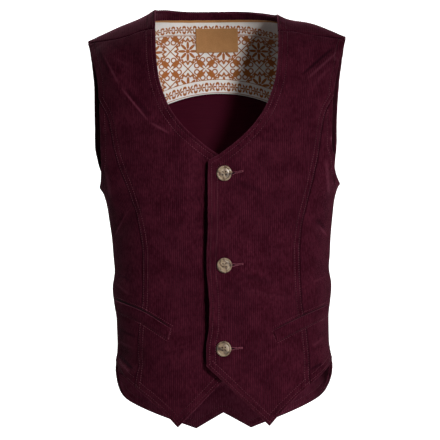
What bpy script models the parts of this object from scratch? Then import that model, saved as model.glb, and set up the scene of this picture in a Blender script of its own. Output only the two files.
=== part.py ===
# A corduroy vest, buttoned and filled out as if worn, with an open neck, hem and armholes.
# The tables are in millimetres and the meshes in metres. The front faces -Y, the wearer's left
# is +X, and the origin lies between the two neck points of the shoulders, where it is held up.
# "drop" is measured down from the origin and "across" sideways from the centre line.

import math
from bisect import bisect_right
from collections import namedtuple

import bmesh
import bpy
from mathutils import Matrix
from mathutils import Vector

MM = 0.001

# Cloth
CLOTH = 2.4
LINING = 1.0
WELT_CLOTH = 2.0
PATCH = 1.2
SEAM_GAP = 0.3
LAYER_GAP = 0.8
INNER_GAP = 1.7
TRIM_GAP = 1.2

# Form
FULLNESS = 0.25
FRONT_CROWN = 120.0
BACK_CROWN = 100.0
NECK_TILT = 5.0
NECK_TILT_AT = 90.0
NECK_TILT_SPREAD = 34.0
NECK_TILT_ENDS = 70.0

# Lap of the two fronts
LAP_RISE = 3.4
LAP_FROM = 66.0
LAP_TO = 30.0
EDGE_RISE = 4.2
EDGE_FROM = 2.0
EDGE_TO = -20.0
UNDER_SINK = 7.0
UNDER_FROM = -52.0
UNDER_TO = -25.0

# Inside of the back
NECK_BAND_REACH = 100.0
NECK_BAND_EDGE = 1.0
TAPE_WIDTH = 3.6
YOKE_DROP = 111.0
YOKE_FALL = 15.0
YOKE_FALL_AT = 75.0
PATCH_WIDTH = 65.0
PATCH_TOP = 13.0
PATCH_BOTTOM = 49.0
FACING_HEIGHT = 60.0
LINING_MARGIN = 0.10
FACING_MARGIN = 0.02

# Welts
WELT_WIDTH = 16.5
WELT_SLANT = math.radians(20)
WELT_OUTER_TURN = math.radians(75)

# Buttons
BUTTON_RADIUS = 10.5
BUTTON_STEPS = 24
BUTTON_HOLE = 1.0
BUTTON_HOLE_PITCH = 2.1
BUTTON_STAND = 1.4

# Round sections of the filled-out form, from above the shoulders to below the hem; sway is how far
# the sides of a section hang to the wearer's left of the plumb line
Section = namedtuple("Section", "drop half_width front_depth back_depth sway")
SECTIONS = (
    Section(-60, 195.0, 100, 98, 0.0),
    Section(0, 195.0, 104, 100, 0.0),
    Section(40, 195.0, 108, 108, 0.0),
    Section(100, 193.0, 112, 114, -1.5),
    Section(150, 190.0, 116, 117, -4.0),
    Section(190, 186.0, 118, 116, -4.5),
    Section(220, 181.0, 119, 114, -3.0),
    Section(238, 176.4, 119, 112, -1.0),
    Section(250, 173.0, 119, 111, 0.5),
    Section(258, 168.5, 119, 110, 1.0),
    Section(275, 163.5, 118, 108, 1.2),
    Section(301, 160.0, 116, 104, 1.4),
    Section(327, 157.0, 114, 100, 1.6),
    Section(353, 155.4, 112, 97, 1.6),
    Section(370, 154.0, 111, 95, 1.4),
    Section(396, 157.3, 112, 96, 1.2),
    Section(418, 155.3, 111, 96, 1.2),
    Section(440, 152.4, 111, 97, 1.3),
    Section(474, 152.0, 112, 100, 1.6),
    Section(517, 157.6, 113, 104, 2.2),
    Section(560, 158.5, 113, 106, 0.5),
    Section(640, 157.0, 112, 107, 0.0),
)

# The ridge of the shoulders, and under the neck opening the cone that the back neck stands on
Ridge = namedtuple("Ridge", "across drop")
RIDGE = (
    Ridge(0, -38),
    Ridge(40, -32),
    Ridge(70, -14),
    Ridge(87, 0),
    Ridge(105, 9.5),
    Ridge(137, 19),
    Ridge(172, 33.5),
    Ridge(186, 39.5),
    Ridge(200, 42),
)

# Edges and seams
Edge = namedtuple("Edge", "drop across")
NECK_AND_FRONT_EDGE = (
    Edge(31, 87.0),
    Edge(54, 86.5),
    Edge(93, 82.8),
    Edge(135.5, 70.1),
    Edge(165.6, 51.0),
    Edge(192, 23.5),
    Edge(209.4, 0.0),
    Edge(219.5, -14.6),
    Edge(236, -15.4),
    Edge(300, -16.2),
    Edge(362, -19.6),
    Edge(418, -16.4),
    Edge(448, -17.4),
    Edge(479, -22.2),
    Edge(502, -22.0),
)
LAP_CORNER_DROP = 219.5

# How far the edge of the lap gapes, between the buttons that hold it down
Gape = namedtuple("Gape", "drop rise")
LAP_GAPE = (
    Gape(219.5, 0.8),
    Gape(226, 0.0),
    Gape(246, 0.0),
    Gape(300, 5.0),
    Gape(352, 0.0),
    Gape(373, 0.0),
    Gape(420, 8.0),
    Gape(468, 0.0),
    Gape(489, 0.0),
    Gape(502, 2.0),
)

Armhole = namedtuple("Armhole", "drop front_across back_across")
ARMHOLE = (
    Armhole(39.5, 186.0, 186.0),
    Armhole(43, 185.6, 185.8),
    Armhole(60, 179.5, 184.0),
    Armhole(100, 169.0, 180.0),
    Armhole(150, 164.5, 178.0),
    Armhole(190, 163.5, 177.0),
    Armhole(220, 164.2, 172.8),
    Armhole(236, 166.8, 170.0),
    Armhole(246, 170.2, 171.4),
    Armhole(250, 173.0, 173.0),
)
SHOULDER_TIP_DROP = 39.5
UNDERARM_DROP = 250.0

PRINCESS_TOP_DROP = 128.0
PRINCESS = (
    Edge(128, 166.0),
    Edge(155, 152.5),
    Edge(209, 142.0),
    Edge(273, 123.4),
    Edge(315, 113.0),
    Edge(346, 110.0),
    Edge(408, 111.3),
    Edge(460, 118.4),
    Edge(540, 123.0),
)

Level = namedtuple("Level", "across drop")
SHOULDER_SEAM = (
    Level(87, 31),
    Level(107, 33),
    Level(127, 38),
    Level(147, 41.5),
    Level(173, 43),
    Level(190, 43.3),
)
BACK_NECK = (
    Level(0, -7.8),
    Level(40, -7.0),
    Level(70, -4.5),
    Level(87, 0),
)
FRONT_HEM_INSIDE = (
    Level(-22, 502),
    Level(64, 587.5),
)
FRONT_HEM_OUTSIDE = (
    Level(64, 587.5),
    Level(82, 568),
    Level(126, 530),
    Level(151, 508),
    Level(157, 498),
)
BACK_HEM_NOTCH = (
    Level(0, 587),
    Level(41, 610),
)
BACK_HEM_OUTSIDE = (
    Level(41, 610),
    Level(100, 586),
    Level(135, 566.5),
    Level(147, 555),
    Level(154.8, 536),
    Level(157.4, 514),
    Level(157.8, 498),
)
WELT_TOP_LEFT = (
    Level(70.3, 455.3),
    Level(112, 436.5),
    Level(154, 421.5),
)
WELT_TOP_RIGHT = (
    Level(70.8, 449.8),
    Level(113.4, 424.5),
    Level(154, 410),
)

# The level at which the tape crosses the inside of the back, from the wearer's right to the left
TAPE_LINE = (
    Level(-100, 10.4),
    Level(-84, 8.9),
    Level(-70, 6.7),
    Level(-50, 3.9),
    Level(-25, 2.6),
    Level(0, 2.6),
    Level(25, 2.7),
    Level(50, 2.5),
    Level(70, 2.4),
    Level(84, 3.7),
    Level(100, 8.6),
)

# Buttons down the front
BUTTONS = (
    Level(7, 235.5),
    Level(5, 362.5),
    Level(2, 478.5),
)

# The largest folds: soft ridges stand out and soft troughs, with a negative height, sink in
Fold = namedtuple("Fold", "face from_across from_drop to_across to_drop width height")
FOLDS = (
    Fold("front", -170, 50, -112, 150, 13, 5.0),
    Fold("front", -128, 125, -64, 188, 13, 4.4),
    Fold("front", -140, 58, -92, 140, 14, -2.6),
    Fold("front", 174, 46, 112, 104, 9, -4.4),
    Fold("front", 172, 74, 108, 134, 12, 4.2),
    Fold("front", -154, 214, -148, 288, 10, 4.0),
    Fold("front", -150, 322, -118, 276, 11, -3.6),
    Fold("front", 160, 204, 146, 236, 10, 3.6),
    Fold("front", 20, 396, 112, 420, 17, 2.6),
    Fold("front", -150, 480, -112, 506, 9, -4.0),
    Fold("front", -146, 506, -104, 544, 11, 3.2),
    Fold("front", 124, 506, 96, 556, 12, -3.0),
    Fold("back", -150, 90, -40, 190, 26, 3.0),
    Fold("back", 150, 84, 50, 176, 25, -2.4),
    Fold("back", -130, 372, 20, 396, 24, -2.6),
    Fold("back", 136, 390, -10, 424, 26, 3.0),
    Fold("back", -110, 470, -60, 560, 26, 2.4),
    Fold("back", 104, 480, 66, 572, 25, -2.4),
)

# How many steps of mesh each part of a panel takes
FRONT_INSIDE_STEPS = 6
FRONT_OUTSIDE_STEPS = 6
ROWS_TO_LAP = 11
ROWS_TO_PRINCESS = 4
ROWS_TO_SHOULDER = 5
SIDE_STEPS = 7
NECK_STEPS = 12
BACK_ARMHOLE_ROWS = 14
STRAP_ROWS = 3

# Colours
Finish = namedtuple("Finish", "colour roughness")
CORDUROY = Finish((0.045, 0.006, 0.012), 0.85)
INSIDE = Finish((0.030, 0.004, 0.009), 0.50)
PRINTED = Finish((0.560, 0.500, 0.460), 0.75)
TAN = Finish((0.430, 0.180, 0.050), 0.70)
HORN = Finish((0.190, 0.130, 0.080), 0.30)


def curve(rows, along, value):
    # A smooth line through the rows of a table that never swings past them.
    at = [getattr(row, along) for row in rows]
    to = [getattr(row, value) for row in rows]
    steps = [(to[i + 1] - to[i]) / (at[i + 1] - at[i]) for i in range(len(at) - 1)]
    slopes = [steps[0]]
    for before, after in zip(steps, steps[1:]):
        slopes.append(2 * before * after / (before + after) if before * after > 0 else 0.0)
    slopes.append(steps[-1])

    def value_at(position):
        position = min(max(position, at[0]), at[-1])
        i = min(bisect_right(at, position) - 1, len(steps) - 1)
        length = at[i + 1] - at[i]
        t = (position - at[i]) / length
        keep = (1 + 2 * t) * (1 - t) ** 2
        leave = t * (1 - t) ** 2 * length
        arrive = t * t * (t - 1) * length
        return keep * to[i] + leave * slopes[i] + (1 - keep) * to[i + 1] + arrive * slopes[i + 1]

    return value_at


def mix(start, end, share):
    return start + (end - start) * share


def smooth_step(start, end, position):
    share = min(max((position - start) / (end - start), 0.0), 1.0)
    return share * share * (3 - 2 * share)


def spread(*stops):
    # Fractions from 0 to 1 with a number of even steps up to each stop.
    fractions = [0.0]
    for stop, count in stops:
        start = fractions[-1]
        fractions += [mix(start, stop, (i + 1) / count) for i in range(count)]
    return fractions


half_width = curve(SECTIONS, "drop", "half_width")
front_depth = curve(SECTIONS, "drop", "front_depth")
back_depth = curve(SECTIONS, "drop", "back_depth")
sway = curve(SECTIONS, "drop", "sway")
ridge_drop = curve(RIDGE, "across", "drop")
front_edge = curve(NECK_AND_FRONT_EDGE, "drop", "across")
armhole_front = curve(ARMHOLE, "drop", "front_across")
armhole_back = curve(ARMHOLE, "drop", "back_across")
princess = curve(PRINCESS, "drop", "across")
shoulder_seam = curve(SHOULDER_SEAM, "across", "drop")
back_neck = curve(BACK_NECK, "across", "drop")
tape_line = curve(TAPE_LINE, "across", "drop")
lap_gape = curve(LAP_GAPE, "drop", "rise")
front_hem_inside = curve(FRONT_HEM_INSIDE, "across", "drop")
front_hem_outside = curve(FRONT_HEM_OUTSIDE, "across", "drop")
back_hem_notch = curve(BACK_HEM_NOTCH, "across", "drop")
back_hem_outside = curve(BACK_HEM_OUTSIDE, "across", "drop")


def front_hem(across):
    return (front_hem_inside if across < FRONT_HEM_OUTSIDE[0].across else front_hem_outside)(across)


def back_hem(across):
    return (back_hem_notch if across < BACK_HEM_OUTSIDE[0].across else back_hem_outside)(across)


def turn_at(across, drop):
    # The turn round the body, from the centre line to the side, that lies this far across.
    return math.asin(min(max(across / half_width(drop), -1.0), 1.0))


def across_at(turn, drop):
    return half_width(drop) * math.sin(turn)


def crown_of(face):
    return FRONT_CROWN if face == "front" else BACK_CROWN


def path_at(across, drop, face):
    # The length up the wall of a face, and on over the round of the shoulder, to a height.
    crown = crown_of(face)
    below_ridge = drop - ridge_drop(abs(across))
    if below_ridge >= crown:
        return -drop
    angle = math.acos(min(1 - below_ridge / crown, 1.0))
    return -ridge_drop(abs(across)) - crown + crown * (math.pi / 2 - angle)


def ridge_path(across, face):
    return -ridge_drop(abs(across)) + crown_of(face) * (math.pi / 2 - 1)


def form_point(turn, path, face):
    # A point of the smooth filled-out form.
    crown = crown_of(face)
    side = -1 if face == "front" else 1
    height = min(path, 0.0)
    reach = 1.0
    for _ in range(5):
        ridge = -ridge_drop(abs(across_at(turn, -height)))
        above_wall = path - (ridge - crown)
        if above_wall <= 0:
            height, reach, side = path, 1.0, -1 if face == "front" else 1
        elif above_wall <= crown * math.pi / 2:
            angle = math.pi / 2 - above_wall / crown
            height, reach = ridge - crown * (1 - math.cos(angle)), math.sin(angle)
            side = -1 if face == "front" else 1
        else:
            angle = (above_wall - crown * math.pi / 2) / FRONT_CROWN
            height, reach, side = ridge - FRONT_CROWN * (1 - math.cos(angle)), math.sin(angle), -1
    depth = front_depth(-height) if side < 0 else back_depth(-height)
    rounding = math.cos(turn) * (1 + FULLNESS * math.sin(turn) ** 2)
    across = across_at(turn, -height)
    tilt = neck_tilt(across, -height)
    lean = sway(-height) * math.sin(turn) ** 2
    return Vector((across + lean, side * depth * reach * rounding, height + tilt))


def neck_tilt(across, drop):
    # The wearer's right neck point stands a little higher than the left one.
    away = (abs(across) - NECK_TILT_AT) / NECK_TILT_SPREAD
    fade = smooth_step(NECK_TILT_ENDS, 0.0, drop)
    return -math.copysign(NECK_TILT, across) * math.exp(-away * away) * fade


def normal_of(point_at, turn, path, face):
    # The outward direction of a surface, from points a little to each side.
    step_turn, step_path = 0.004, 0.5
    round_it = point_at(turn + step_turn, path, face) - point_at(turn - step_turn, path, face)
    up_it = point_at(turn, path + step_path, face) - point_at(turn, path - step_path, face)
    normal = round_it.cross(up_it).normalized()
    return normal if face == "front" else -normal


def fold_height(across, drop, face):
    total = 0.0
    for fold in FOLDS:
        if fold.face != face:
            continue
        start = Vector((fold.from_across, fold.from_drop))
        run = Vector((fold.to_across, fold.to_drop)) - start
        here = Vector((across, drop)) - start
        share = min(max(here.dot(run) / run.length_squared, 0.0), 1.0)
        away = (here - run * share).length / fold.width
        total += fold.height * math.exp(-away * away) * (1 - (2 * share - 1) ** 4)
    fade = smooth_step(1.0, 0.95, abs(across) / half_width(drop))
    return total * fade


def cloth_point(turn, path, face):
    # A point of the form with its folds.
    point = form_point(turn, path, face)
    height = fold_height(point.x, -point.z, face)
    if abs(height) < 0.001:
        return point
    return point + normal_of(form_point, turn, path, face) * height


def lap_rise(across, drop):
    # How far the upper front stands off where it laps over the under one.
    edge_rise = EDGE_RISE + lap_gape(drop)
    return LAP_RISE * smooth_step(LAP_FROM, LAP_TO, across) + edge_rise * smooth_step(EDGE_FROM, EDGE_TO, across)


def under_sink(across, drop):
    # How far the under front sinks in where the upper one laps over it.
    return -UNDER_SINK * smooth_step(UNDER_FROM, UNDER_TO, across)


def no_rise(across, drop):
    return 0.0


def finished(name, shape, finish):
    bmesh.ops.recalc_face_normals(shape, faces=shape.faces)
    mesh = bpy.data.meshes.new(name)
    shape.to_mesh(mesh)
    shape.free()
    part = bpy.data.objects.new(name, mesh)
    bpy.context.collection.objects.link(part)
    material = bpy.data.materials.new(name)
    material.use_nodes = True
    shader = material.node_tree.nodes["Principled BSDF"]
    shader.inputs["Base Color"].default_value = (*finish.colour, 1)
    shader.inputs["Roughness"].default_value = finish.roughness
    mesh.materials.append(material)
    return part


def wall(name, finish, columns, rows, place, face, outside, thickness, side=1, rise=no_rise, cut=None):
    # A panel of cloth: a grid laid on the folded form, then given its thickness inwards.
    sheet = bmesh.new()
    across_steps, up_steps = len(columns) - 1, len(rows) - 1
    bmesh.ops.create_grid(sheet, x_segments=across_steps, y_segments=up_steps, size=0.5)
    spot = {
        vertex: (
            columns[round((vertex.co.x + 0.5) * across_steps)],
            rows[round((vertex.co.y + 0.5) * up_steps)],
        )
        for vertex in sheet.verts
    }
    if cut:
        gone = [f for f in sheet.faces if cut(*(sum(spot[v][i] for v in f.verts) / 4 for i in (0, 1)))]
        bmesh.ops.delete(sheet, geom=gone, context="FACES")
    inwards = {}
    for vertex in sheet.verts:
        turn, path = place(*spot[vertex])
        normal = normal_of(cloth_point, turn * side, path, face)
        point = cloth_point(turn * side, path, face)
        vertex.co = (point + normal * (outside + rise(point.x, -point.z))) * MM
        inwards[tuple(vertex.co)] = normal * (-thickness * MM)
    grown = bmesh.ops.extrude_face_region(sheet, geom=sheet.faces[:])
    for vertex in grown["geom"]:
        if isinstance(vertex, bmesh.types.BMVert):
            vertex.co += inwards[tuple(vertex.co)]
    bmesh.ops.triangulate(sheet, faces=sheet.faces, quad_method="SHORT_EDGE")
    return finished(name, sheet, finish)


def settle(turn_for, level, start_drop):
    # The drop at which a column of a panel meets an edge that is a level across the body.
    drop = start_drop
    for _ in range(30):
        drop += 0.4 * (level(across_at(turn_for(drop), drop)) - drop)
    return drop


SEAM_TURN = SEAM_GAP / 2 / 125


def front_turn(share, drop):
    inner = turn_at(front_edge(drop), drop)
    if drop >= PRINCESS_TOP_DROP:
        outer = turn_at(princess(drop), drop) - SEAM_TURN
    else:
        outer = turn_at(armhole_front(drop), drop)
    return mix(inner, outer, share)


def front_place(share, up):
    bottom = settle(lambda drop: front_turn(share, drop), front_hem, 530)
    top = settle(lambda drop: front_turn(share, drop), shoulder_seam, 40)
    seam_across = across_at(front_turn(share, top), top)
    path = mix(-bottom, path_at(seam_across, top, "front") - SEAM_GAP, up)
    drop = -form_point(front_turn(share, -min(path, 0)), path, "front").z
    for _ in range(4):
        drop = -form_point(front_turn(share, drop), path, "front").z
    return front_turn(share, drop), path


def side_turn(share, drop):
    return mix(turn_at(princess(drop), drop) + SEAM_TURN, math.pi / 2 - SEAM_TURN, share)


def side_place(share, up):
    bottom = settle(lambda drop: side_turn(share, drop), front_hem, 510)
    above, below = PRINCESS_TOP_DROP, UNDERARM_DROP
    for _ in range(30):
        middle = (above + below) / 2
        if side_turn(share, middle) > turn_at(armhole_front(middle), middle):
            above = middle
        else:
            below = middle
    path = mix(-bottom, -below, up)
    return side_turn(share, -path), path


def back_edge(drop):
    if drop >= UNDERARM_DROP:
        return math.pi / 2 - SEAM_TURN
    return turn_at(armhole_back(max(drop, SHOULDER_TIP_DROP)), max(drop, SHOULDER_TIP_DROP))


NECK_SHARE = turn_at(BACK_NECK[-1].across, 0) / back_edge(0)


def back_top(share):
    across = across_at(abs(share) * back_edge(0), 0)
    if abs(share) >= NECK_SHARE - 1e-6:
        return ridge_path(across, "back")
    return path_at(across, back_neck(across), "back")


def back_place(share, up):
    # Rows from 0 to 1 climb the back to the ridge, and rows from 1 to 2 go over it to the shoulder seam.
    bottom = settle(lambda drop: abs(share) * back_edge(drop), back_hem, 560)
    top = back_top(share)
    path = mix(-bottom, top, min(up, 1))
    if up > 1:
        across = across_at(abs(share) * back_edge(0), 0)
        below_ridge = shoulder_seam(across) - ridge_drop(across)
        over = FRONT_CROWN * math.acos(1 - below_ridge / FRONT_CROWN) - SEAM_GAP
        return share * back_edge(0), top + over * (up - 1)
    drop = -min(path, 0)
    for _ in range(6):
        drop = -form_point(share * back_edge(drop), path, "back").z
    return share * back_edge(drop), path


def over_neck(share, up):
    return up > 1 and abs(share) < NECK_SHARE


def neck_path(across):
    # The back neck edge, and past its ends the ridge of the shoulder.
    if abs(across) <= BACK_NECK[-1].across:
        return path_at(across, back_neck(abs(across)), "back")
    return ridge_path(across, "back")


def tape_path(across):
    within = math.copysign(min(abs(across), NECK_BAND_REACH), across)
    fall = ridge_drop(abs(across)) - ridge_drop(abs(within))
    return path_at(across, tape_line(within) + fall, "back")


def neck_band_place(share, up):
    across = share * NECK_BAND_REACH
    return turn_at(across, 0), mix(tape_path(across), neck_path(across) - NECK_BAND_EDGE, up)


def tape_place(share, up):
    turn, path = neck_band_place(share, 0)
    return turn, path + TAPE_WIDTH * (up - 0.6)


def inside_turn(share, drop, margin):
    return share * (back_edge(drop) - margin)


def yoke_bottom(across):
    return YOKE_DROP + YOKE_FALL * (across / YOKE_FALL_AT) ** 2


def yoke_place(share, up):
    bottom = settle(lambda drop: inside_turn(abs(share), drop, LINING_MARGIN), yoke_bottom, 130)
    across = across_at(inside_turn(share, 0, LINING_MARGIN), 0)
    path = mix(path_at(across, bottom, "back"), tape_path(across) - 4 * SEAM_GAP, up)
    drop = -min(path, 0)
    for _ in range(6):
        drop = -form_point(inside_turn(share, drop, LINING_MARGIN), path, "back").z
    return inside_turn(share, drop, LINING_MARGIN), path


def hem_drop(turn):
    return settle(lambda drop: turn, back_hem, 560)


def lining_place(share, up):
    def turn_for(drop):
        return inside_turn(abs(share), drop, LINING_MARGIN)

    bottom = hem_drop(turn_for(500)) - FACING_HEIGHT - 12 * SEAM_GAP
    top = settle(turn_for, yoke_bottom, 130) + 4 * SEAM_GAP
    path = mix(-bottom, path_at(across_at(turn_for(top), top), top, "back"), up)
    return inside_turn(share, -path, LINING_MARGIN), path


def facing_place(share, up):
    turn = inside_turn(abs(share), 500, FACING_MARGIN)
    path = 1.0 - hem_drop(turn) + (FACING_HEIGHT - 1.0) * up
    return math.copysign(turn, share), path


def patch_place(share, up):
    across = share * PATCH_WIDTH / 2
    drop = mix(PATCH_BOTTOM, PATCH_TOP, up)
    return turn_at(across, drop), path_at(across, drop, "back")


def welt_on(top_rows):
    welt_top = curve(top_rows, "across", "drop")
    inner = turn_at(top_rows[0].across, top_rows[0].drop)

    def place(share, up):
        turn = mix(inner, WELT_OUTER_TURN, share)
        drop = settle(lambda d: turn, welt_top, 430)
        down = WELT_WIDTH * (1 - up)
        turn += down * math.sin(WELT_SLANT) / 130
        return turn, -(drop + down * math.cos(WELT_SLANT))

    return place


def button(name, spot):
    # A four-hole button with a rounded rim and a dished face, cut through by its holes.
    radius = BUTTON_RADIUS
    Ring = namedtuple("Ring", "radius height")
    profile = (
        Ring(0, 0.0),
        Ring(radius * 0.80, 0.0),
        Ring(radius * 0.95, 0.7),
        Ring(radius, 1.9),
        Ring(radius * 0.95, 3.1),
        Ring(radius * 0.84, 3.5),
        Ring(radius * 0.70, 3.0),
        Ring(radius * 0.55, 2.3),
        Ring(0, 2.2),
    )
    turn, path = turn_at(spot.across, spot.drop), -spot.drop
    normal = normal_of(cloth_point, turn, path, "front")
    base = cloth_point(turn, path, "front") + normal * (lap_rise(*spot) + BUTTON_STAND)
    frame = Matrix.Translation(base * MM) @ normal.to_track_quat("Z", "Y").to_matrix().to_4x4()
    frame = frame @ Matrix.Scale(MM, 4)
    disc = bmesh.new()
    line = [disc.verts.new((ring.radius, 0, ring.height)) for ring in profile]
    edges = [disc.edges.new(pair) for pair in zip(line, line[1:])]
    bmesh.ops.spin(disc, geom=line + edges, axis=(0, 0, 1), cent=(0, 0, 0),
                   angle=2 * math.pi, steps=BUTTON_STEPS, use_merge=True)
    bmesh.ops.remove_doubles(disc, verts=disc.verts, dist=0.0001)
    bmesh.ops.transform(disc, matrix=frame, verts=disc.verts)
    part = finished(name, disc, HORN)
    holes = bmesh.new()
    for quarter in range(4):
        angle = math.pi / 4 + quarter * math.pi / 2
        reach = BUTTON_HOLE_PITCH * math.sqrt(2)
        place = Matrix.Translation((reach * math.cos(angle), reach * math.sin(angle), 1.5))
        bmesh.ops.create_cone(holes, segments=8, radius1=BUTTON_HOLE, radius2=BUTTON_HOLE,
                              depth=6, cap_ends=True, matrix=place)
    bmesh.ops.transform(holes, matrix=frame, verts=holes.verts)
    cutter = finished(name + "_holes", holes, HORN)
    cutter.hide_render = True
    cutter.display_type = "WIRE"
    drill = part.modifiers.new("holes", "BOOLEAN")
    drill.operation = "DIFFERENCE"
    drill.solver = "EXACT"
    drill.object = cutter


for thing in list(bpy.data.objects):
    bpy.data.objects.remove(thing, do_unlink=True)

# Where the points of the fronts and the corners of the lap fall among the steps of a panel
hem_edge_turn = turn_at(FRONT_HEM_INSIDE[0].across, FRONT_HEM_INSIDE[0].drop)
hem_tip_turn = turn_at(FRONT_HEM_OUTSIDE[0].across, FRONT_HEM_OUTSIDE[0].drop)
hem_seam_turn = turn_at(princess(533), 533)
tip_share = (hem_tip_turn - hem_edge_turn) / (hem_seam_turn - hem_edge_turn)
front_columns = spread((tip_share, FRONT_INSIDE_STEPS), (1.0, FRONT_OUTSIDE_STEPS))

edge_foot = -settle(lambda drop: front_turn(0, drop), front_hem, 500)
edge_head = path_at(NECK_AND_FRONT_EDGE[0].across, NECK_AND_FRONT_EDGE[0].drop, "front")
lap_up = (-LAP_CORNER_DROP - edge_foot) / (edge_head - edge_foot)
seam_foot = -settle(lambda drop: front_turn(1, drop), front_hem, 530)
seam_head = path_at(ARMHOLE[1].front_across, shoulder_seam(ARMHOLE[1].front_across), "front")
princess_up = (-PRINCESS_TOP_DROP - seam_foot) / (seam_head - seam_foot)
front_rows = spread((lap_up, ROWS_TO_LAP), (princess_up, ROWS_TO_PRINCESS), (1.0, ROWS_TO_SHOULDER))
side_rows = [row / princess_up for row in front_rows if row <= princess_up + 1e-9]

underarm_up = (498 - UNDERARM_DROP) / (498 + back_top(1))
shoulder_columns = [mix(NECK_SHARE, 1, share) for share in front_columns]
neck_columns = [mix(-NECK_SHARE, NECK_SHARE, i / NECK_STEPS) for i in range(1, NECK_STEPS)]
back_columns = [-share for share in reversed(shoulder_columns)] + neck_columns + shoulder_columns
back_rows = [row * underarm_up for row in side_rows]
back_rows += [mix(underarm_up, 1, (i + 1) / BACK_ARMHOLE_ROWS) for i in range(BACK_ARMHOLE_ROWS)]
back_rows += [1 + (i + 1) / STRAP_ROWS for i in range(STRAP_ROWS)]


def even(start, end, count):
    return [mix(start, end, i / count) for i in range(count + 1)]


# Panels
wall("front_left", CORDUROY, front_columns, front_rows, front_place, "front", 0, CLOTH, 1, lap_rise)
wall("front_right", CORDUROY, front_columns, front_rows, front_place, "front", 0, CLOTH, -1, under_sink)
wall("side_front_left", CORDUROY, even(0, 1, SIDE_STEPS), side_rows, side_place, "front", 0, CLOTH, 1)
wall("side_front_right", CORDUROY, even(0, 1, SIDE_STEPS), side_rows, side_place, "front", 0, CLOTH, -1)
wall("back", CORDUROY, back_columns, back_rows, back_place, "back", 0, CLOTH, cut=over_neck)

# Welts on the fronts
WELT_OUT = LAYER_GAP + WELT_CLOTH
for name, top_rows, side in (("welt_left", WELT_TOP_LEFT, 1), ("welt_right", WELT_TOP_RIGHT, -1)):
    wall(name, CORDUROY, even(0, 1, 12), even(0, 1, 2), welt_on(top_rows), "front", WELT_OUT, WELT_CLOTH, side)

# What shows inside the back
FIRST_LAYER = -CLOTH - INNER_GAP
SECOND_LAYER = FIRST_LAYER - LINING - TRIM_GAP
wall("neck_band", CORDUROY, even(-1, 1, 32), even(0, 1, 4), neck_band_place, "back", FIRST_LAYER, LINING)
wall("yoke_lining", PRINTED, even(-1, 1, 28), even(0, 1, 9), yoke_place, "back", FIRST_LAYER, LINING)
wall("back_lining", INSIDE, even(-1, 1, 24), even(0, 1, 16), lining_place, "back", FIRST_LAYER, LINING)
wall("hem_facing", CORDUROY, even(-1, 1, 32), even(0, 1, 3), facing_place, "back", FIRST_LAYER, LINING)
wall("neck_tape", TAN, even(-1, 1, 32), even(0, 1, 1), tape_place, "back", SECOND_LAYER, LINING)
wall("neck_patch", TAN, even(-1, 1, 6), even(0, 1, 4), patch_place, "back", SECOND_LAYER, PATCH)

# Buttons
for number, spot in enumerate(BUTTONS):
    button("button_" + str(number + 1), spot)
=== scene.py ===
import math
import random

import bmesh
import bpy
import numpy as np
from mathutils import Matrix, Vector


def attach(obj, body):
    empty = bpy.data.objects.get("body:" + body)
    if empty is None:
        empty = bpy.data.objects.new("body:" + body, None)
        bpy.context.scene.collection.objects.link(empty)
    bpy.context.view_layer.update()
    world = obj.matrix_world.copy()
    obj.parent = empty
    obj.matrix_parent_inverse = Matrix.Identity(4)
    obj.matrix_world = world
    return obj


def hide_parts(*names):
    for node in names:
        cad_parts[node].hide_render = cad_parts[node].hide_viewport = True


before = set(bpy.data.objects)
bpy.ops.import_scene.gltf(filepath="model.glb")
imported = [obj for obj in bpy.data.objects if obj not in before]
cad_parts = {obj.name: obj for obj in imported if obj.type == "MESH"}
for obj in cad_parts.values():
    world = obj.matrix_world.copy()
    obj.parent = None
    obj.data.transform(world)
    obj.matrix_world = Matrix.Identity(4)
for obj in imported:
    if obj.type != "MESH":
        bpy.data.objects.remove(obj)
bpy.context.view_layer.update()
print("frame loaded:", len(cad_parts), "nodes")

mm = 0.001
dice = random.Random(7)

# the filled-out form, in millimetres, with the same sizes as the solids:
# "drop" is down from the origin, "across" is sideways from the centre line
form = {
    # drop, half width, front depth, back depth, sway
    "sections": [
        (-60, 195, 100, 98, 0), (0, 195, 104, 100, 0), (40, 195, 108, 108, 0),
        (100, 193, 112, 114, -1.5), (150, 190, 116, 117, -4), (190, 186, 118, 116, -4.5),
        (220, 181, 119, 114, -3), (238, 176.4, 119, 112, -1), (250, 173, 119, 111, 0.5),
        (258, 168.5, 119, 110, 1), (275, 163.5, 118, 108, 1.2), (301, 160, 116, 104, 1.4),
        (327, 157, 114, 100, 1.6), (353, 155.4, 112, 97, 1.6), (370, 154, 111, 95, 1.4),
        (396, 157.3, 112, 96, 1.2), (418, 155.3, 111, 96, 1.2), (440, 152.4, 111, 97, 1.3),
        (474, 152, 112, 100, 1.6), (517, 157.6, 113, 104, 2.2), (560, 158.5, 113, 106, 0.5),
        (640, 157, 112, 107, 0),
    ],
    # across, drop of the shoulders' ridge
    "ridge": [(0, -38), (40, -32), (70, -14), (87, 0), (105, 9.5), (137, 19), (172, 33.5),
              (186, 39.5), (200, 42)],
    "fullness": 0.25,
    "crown": {"front": 120.0, "back": 100.0},
    "neckTilt": {"rise": 5.0, "at": 90.0, "spread": 34.0, "ends": 70.0},
    "lap": {"rise": 3.4, "start": 66.0, "end": 30.0, "edgeRise": 4.2, "edgeStart": 2.0, "edgeEnd": -20.0,
            # drop, how far the edge gapes between the buttons
            "gape": [(219.5, 0.8), (226, 0), (246, 0), (300, 5), (352, 0), (373, 0), (420, 8),
                     (468, 0), (489, 0), (502, 2)]},
    "under": {"sink": 7.0, "start": -52.0, "end": -25.0},
    "probe": {"turn": 0.004, "path": 0.5},  # how far apart the form is felt for its slope
}

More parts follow.
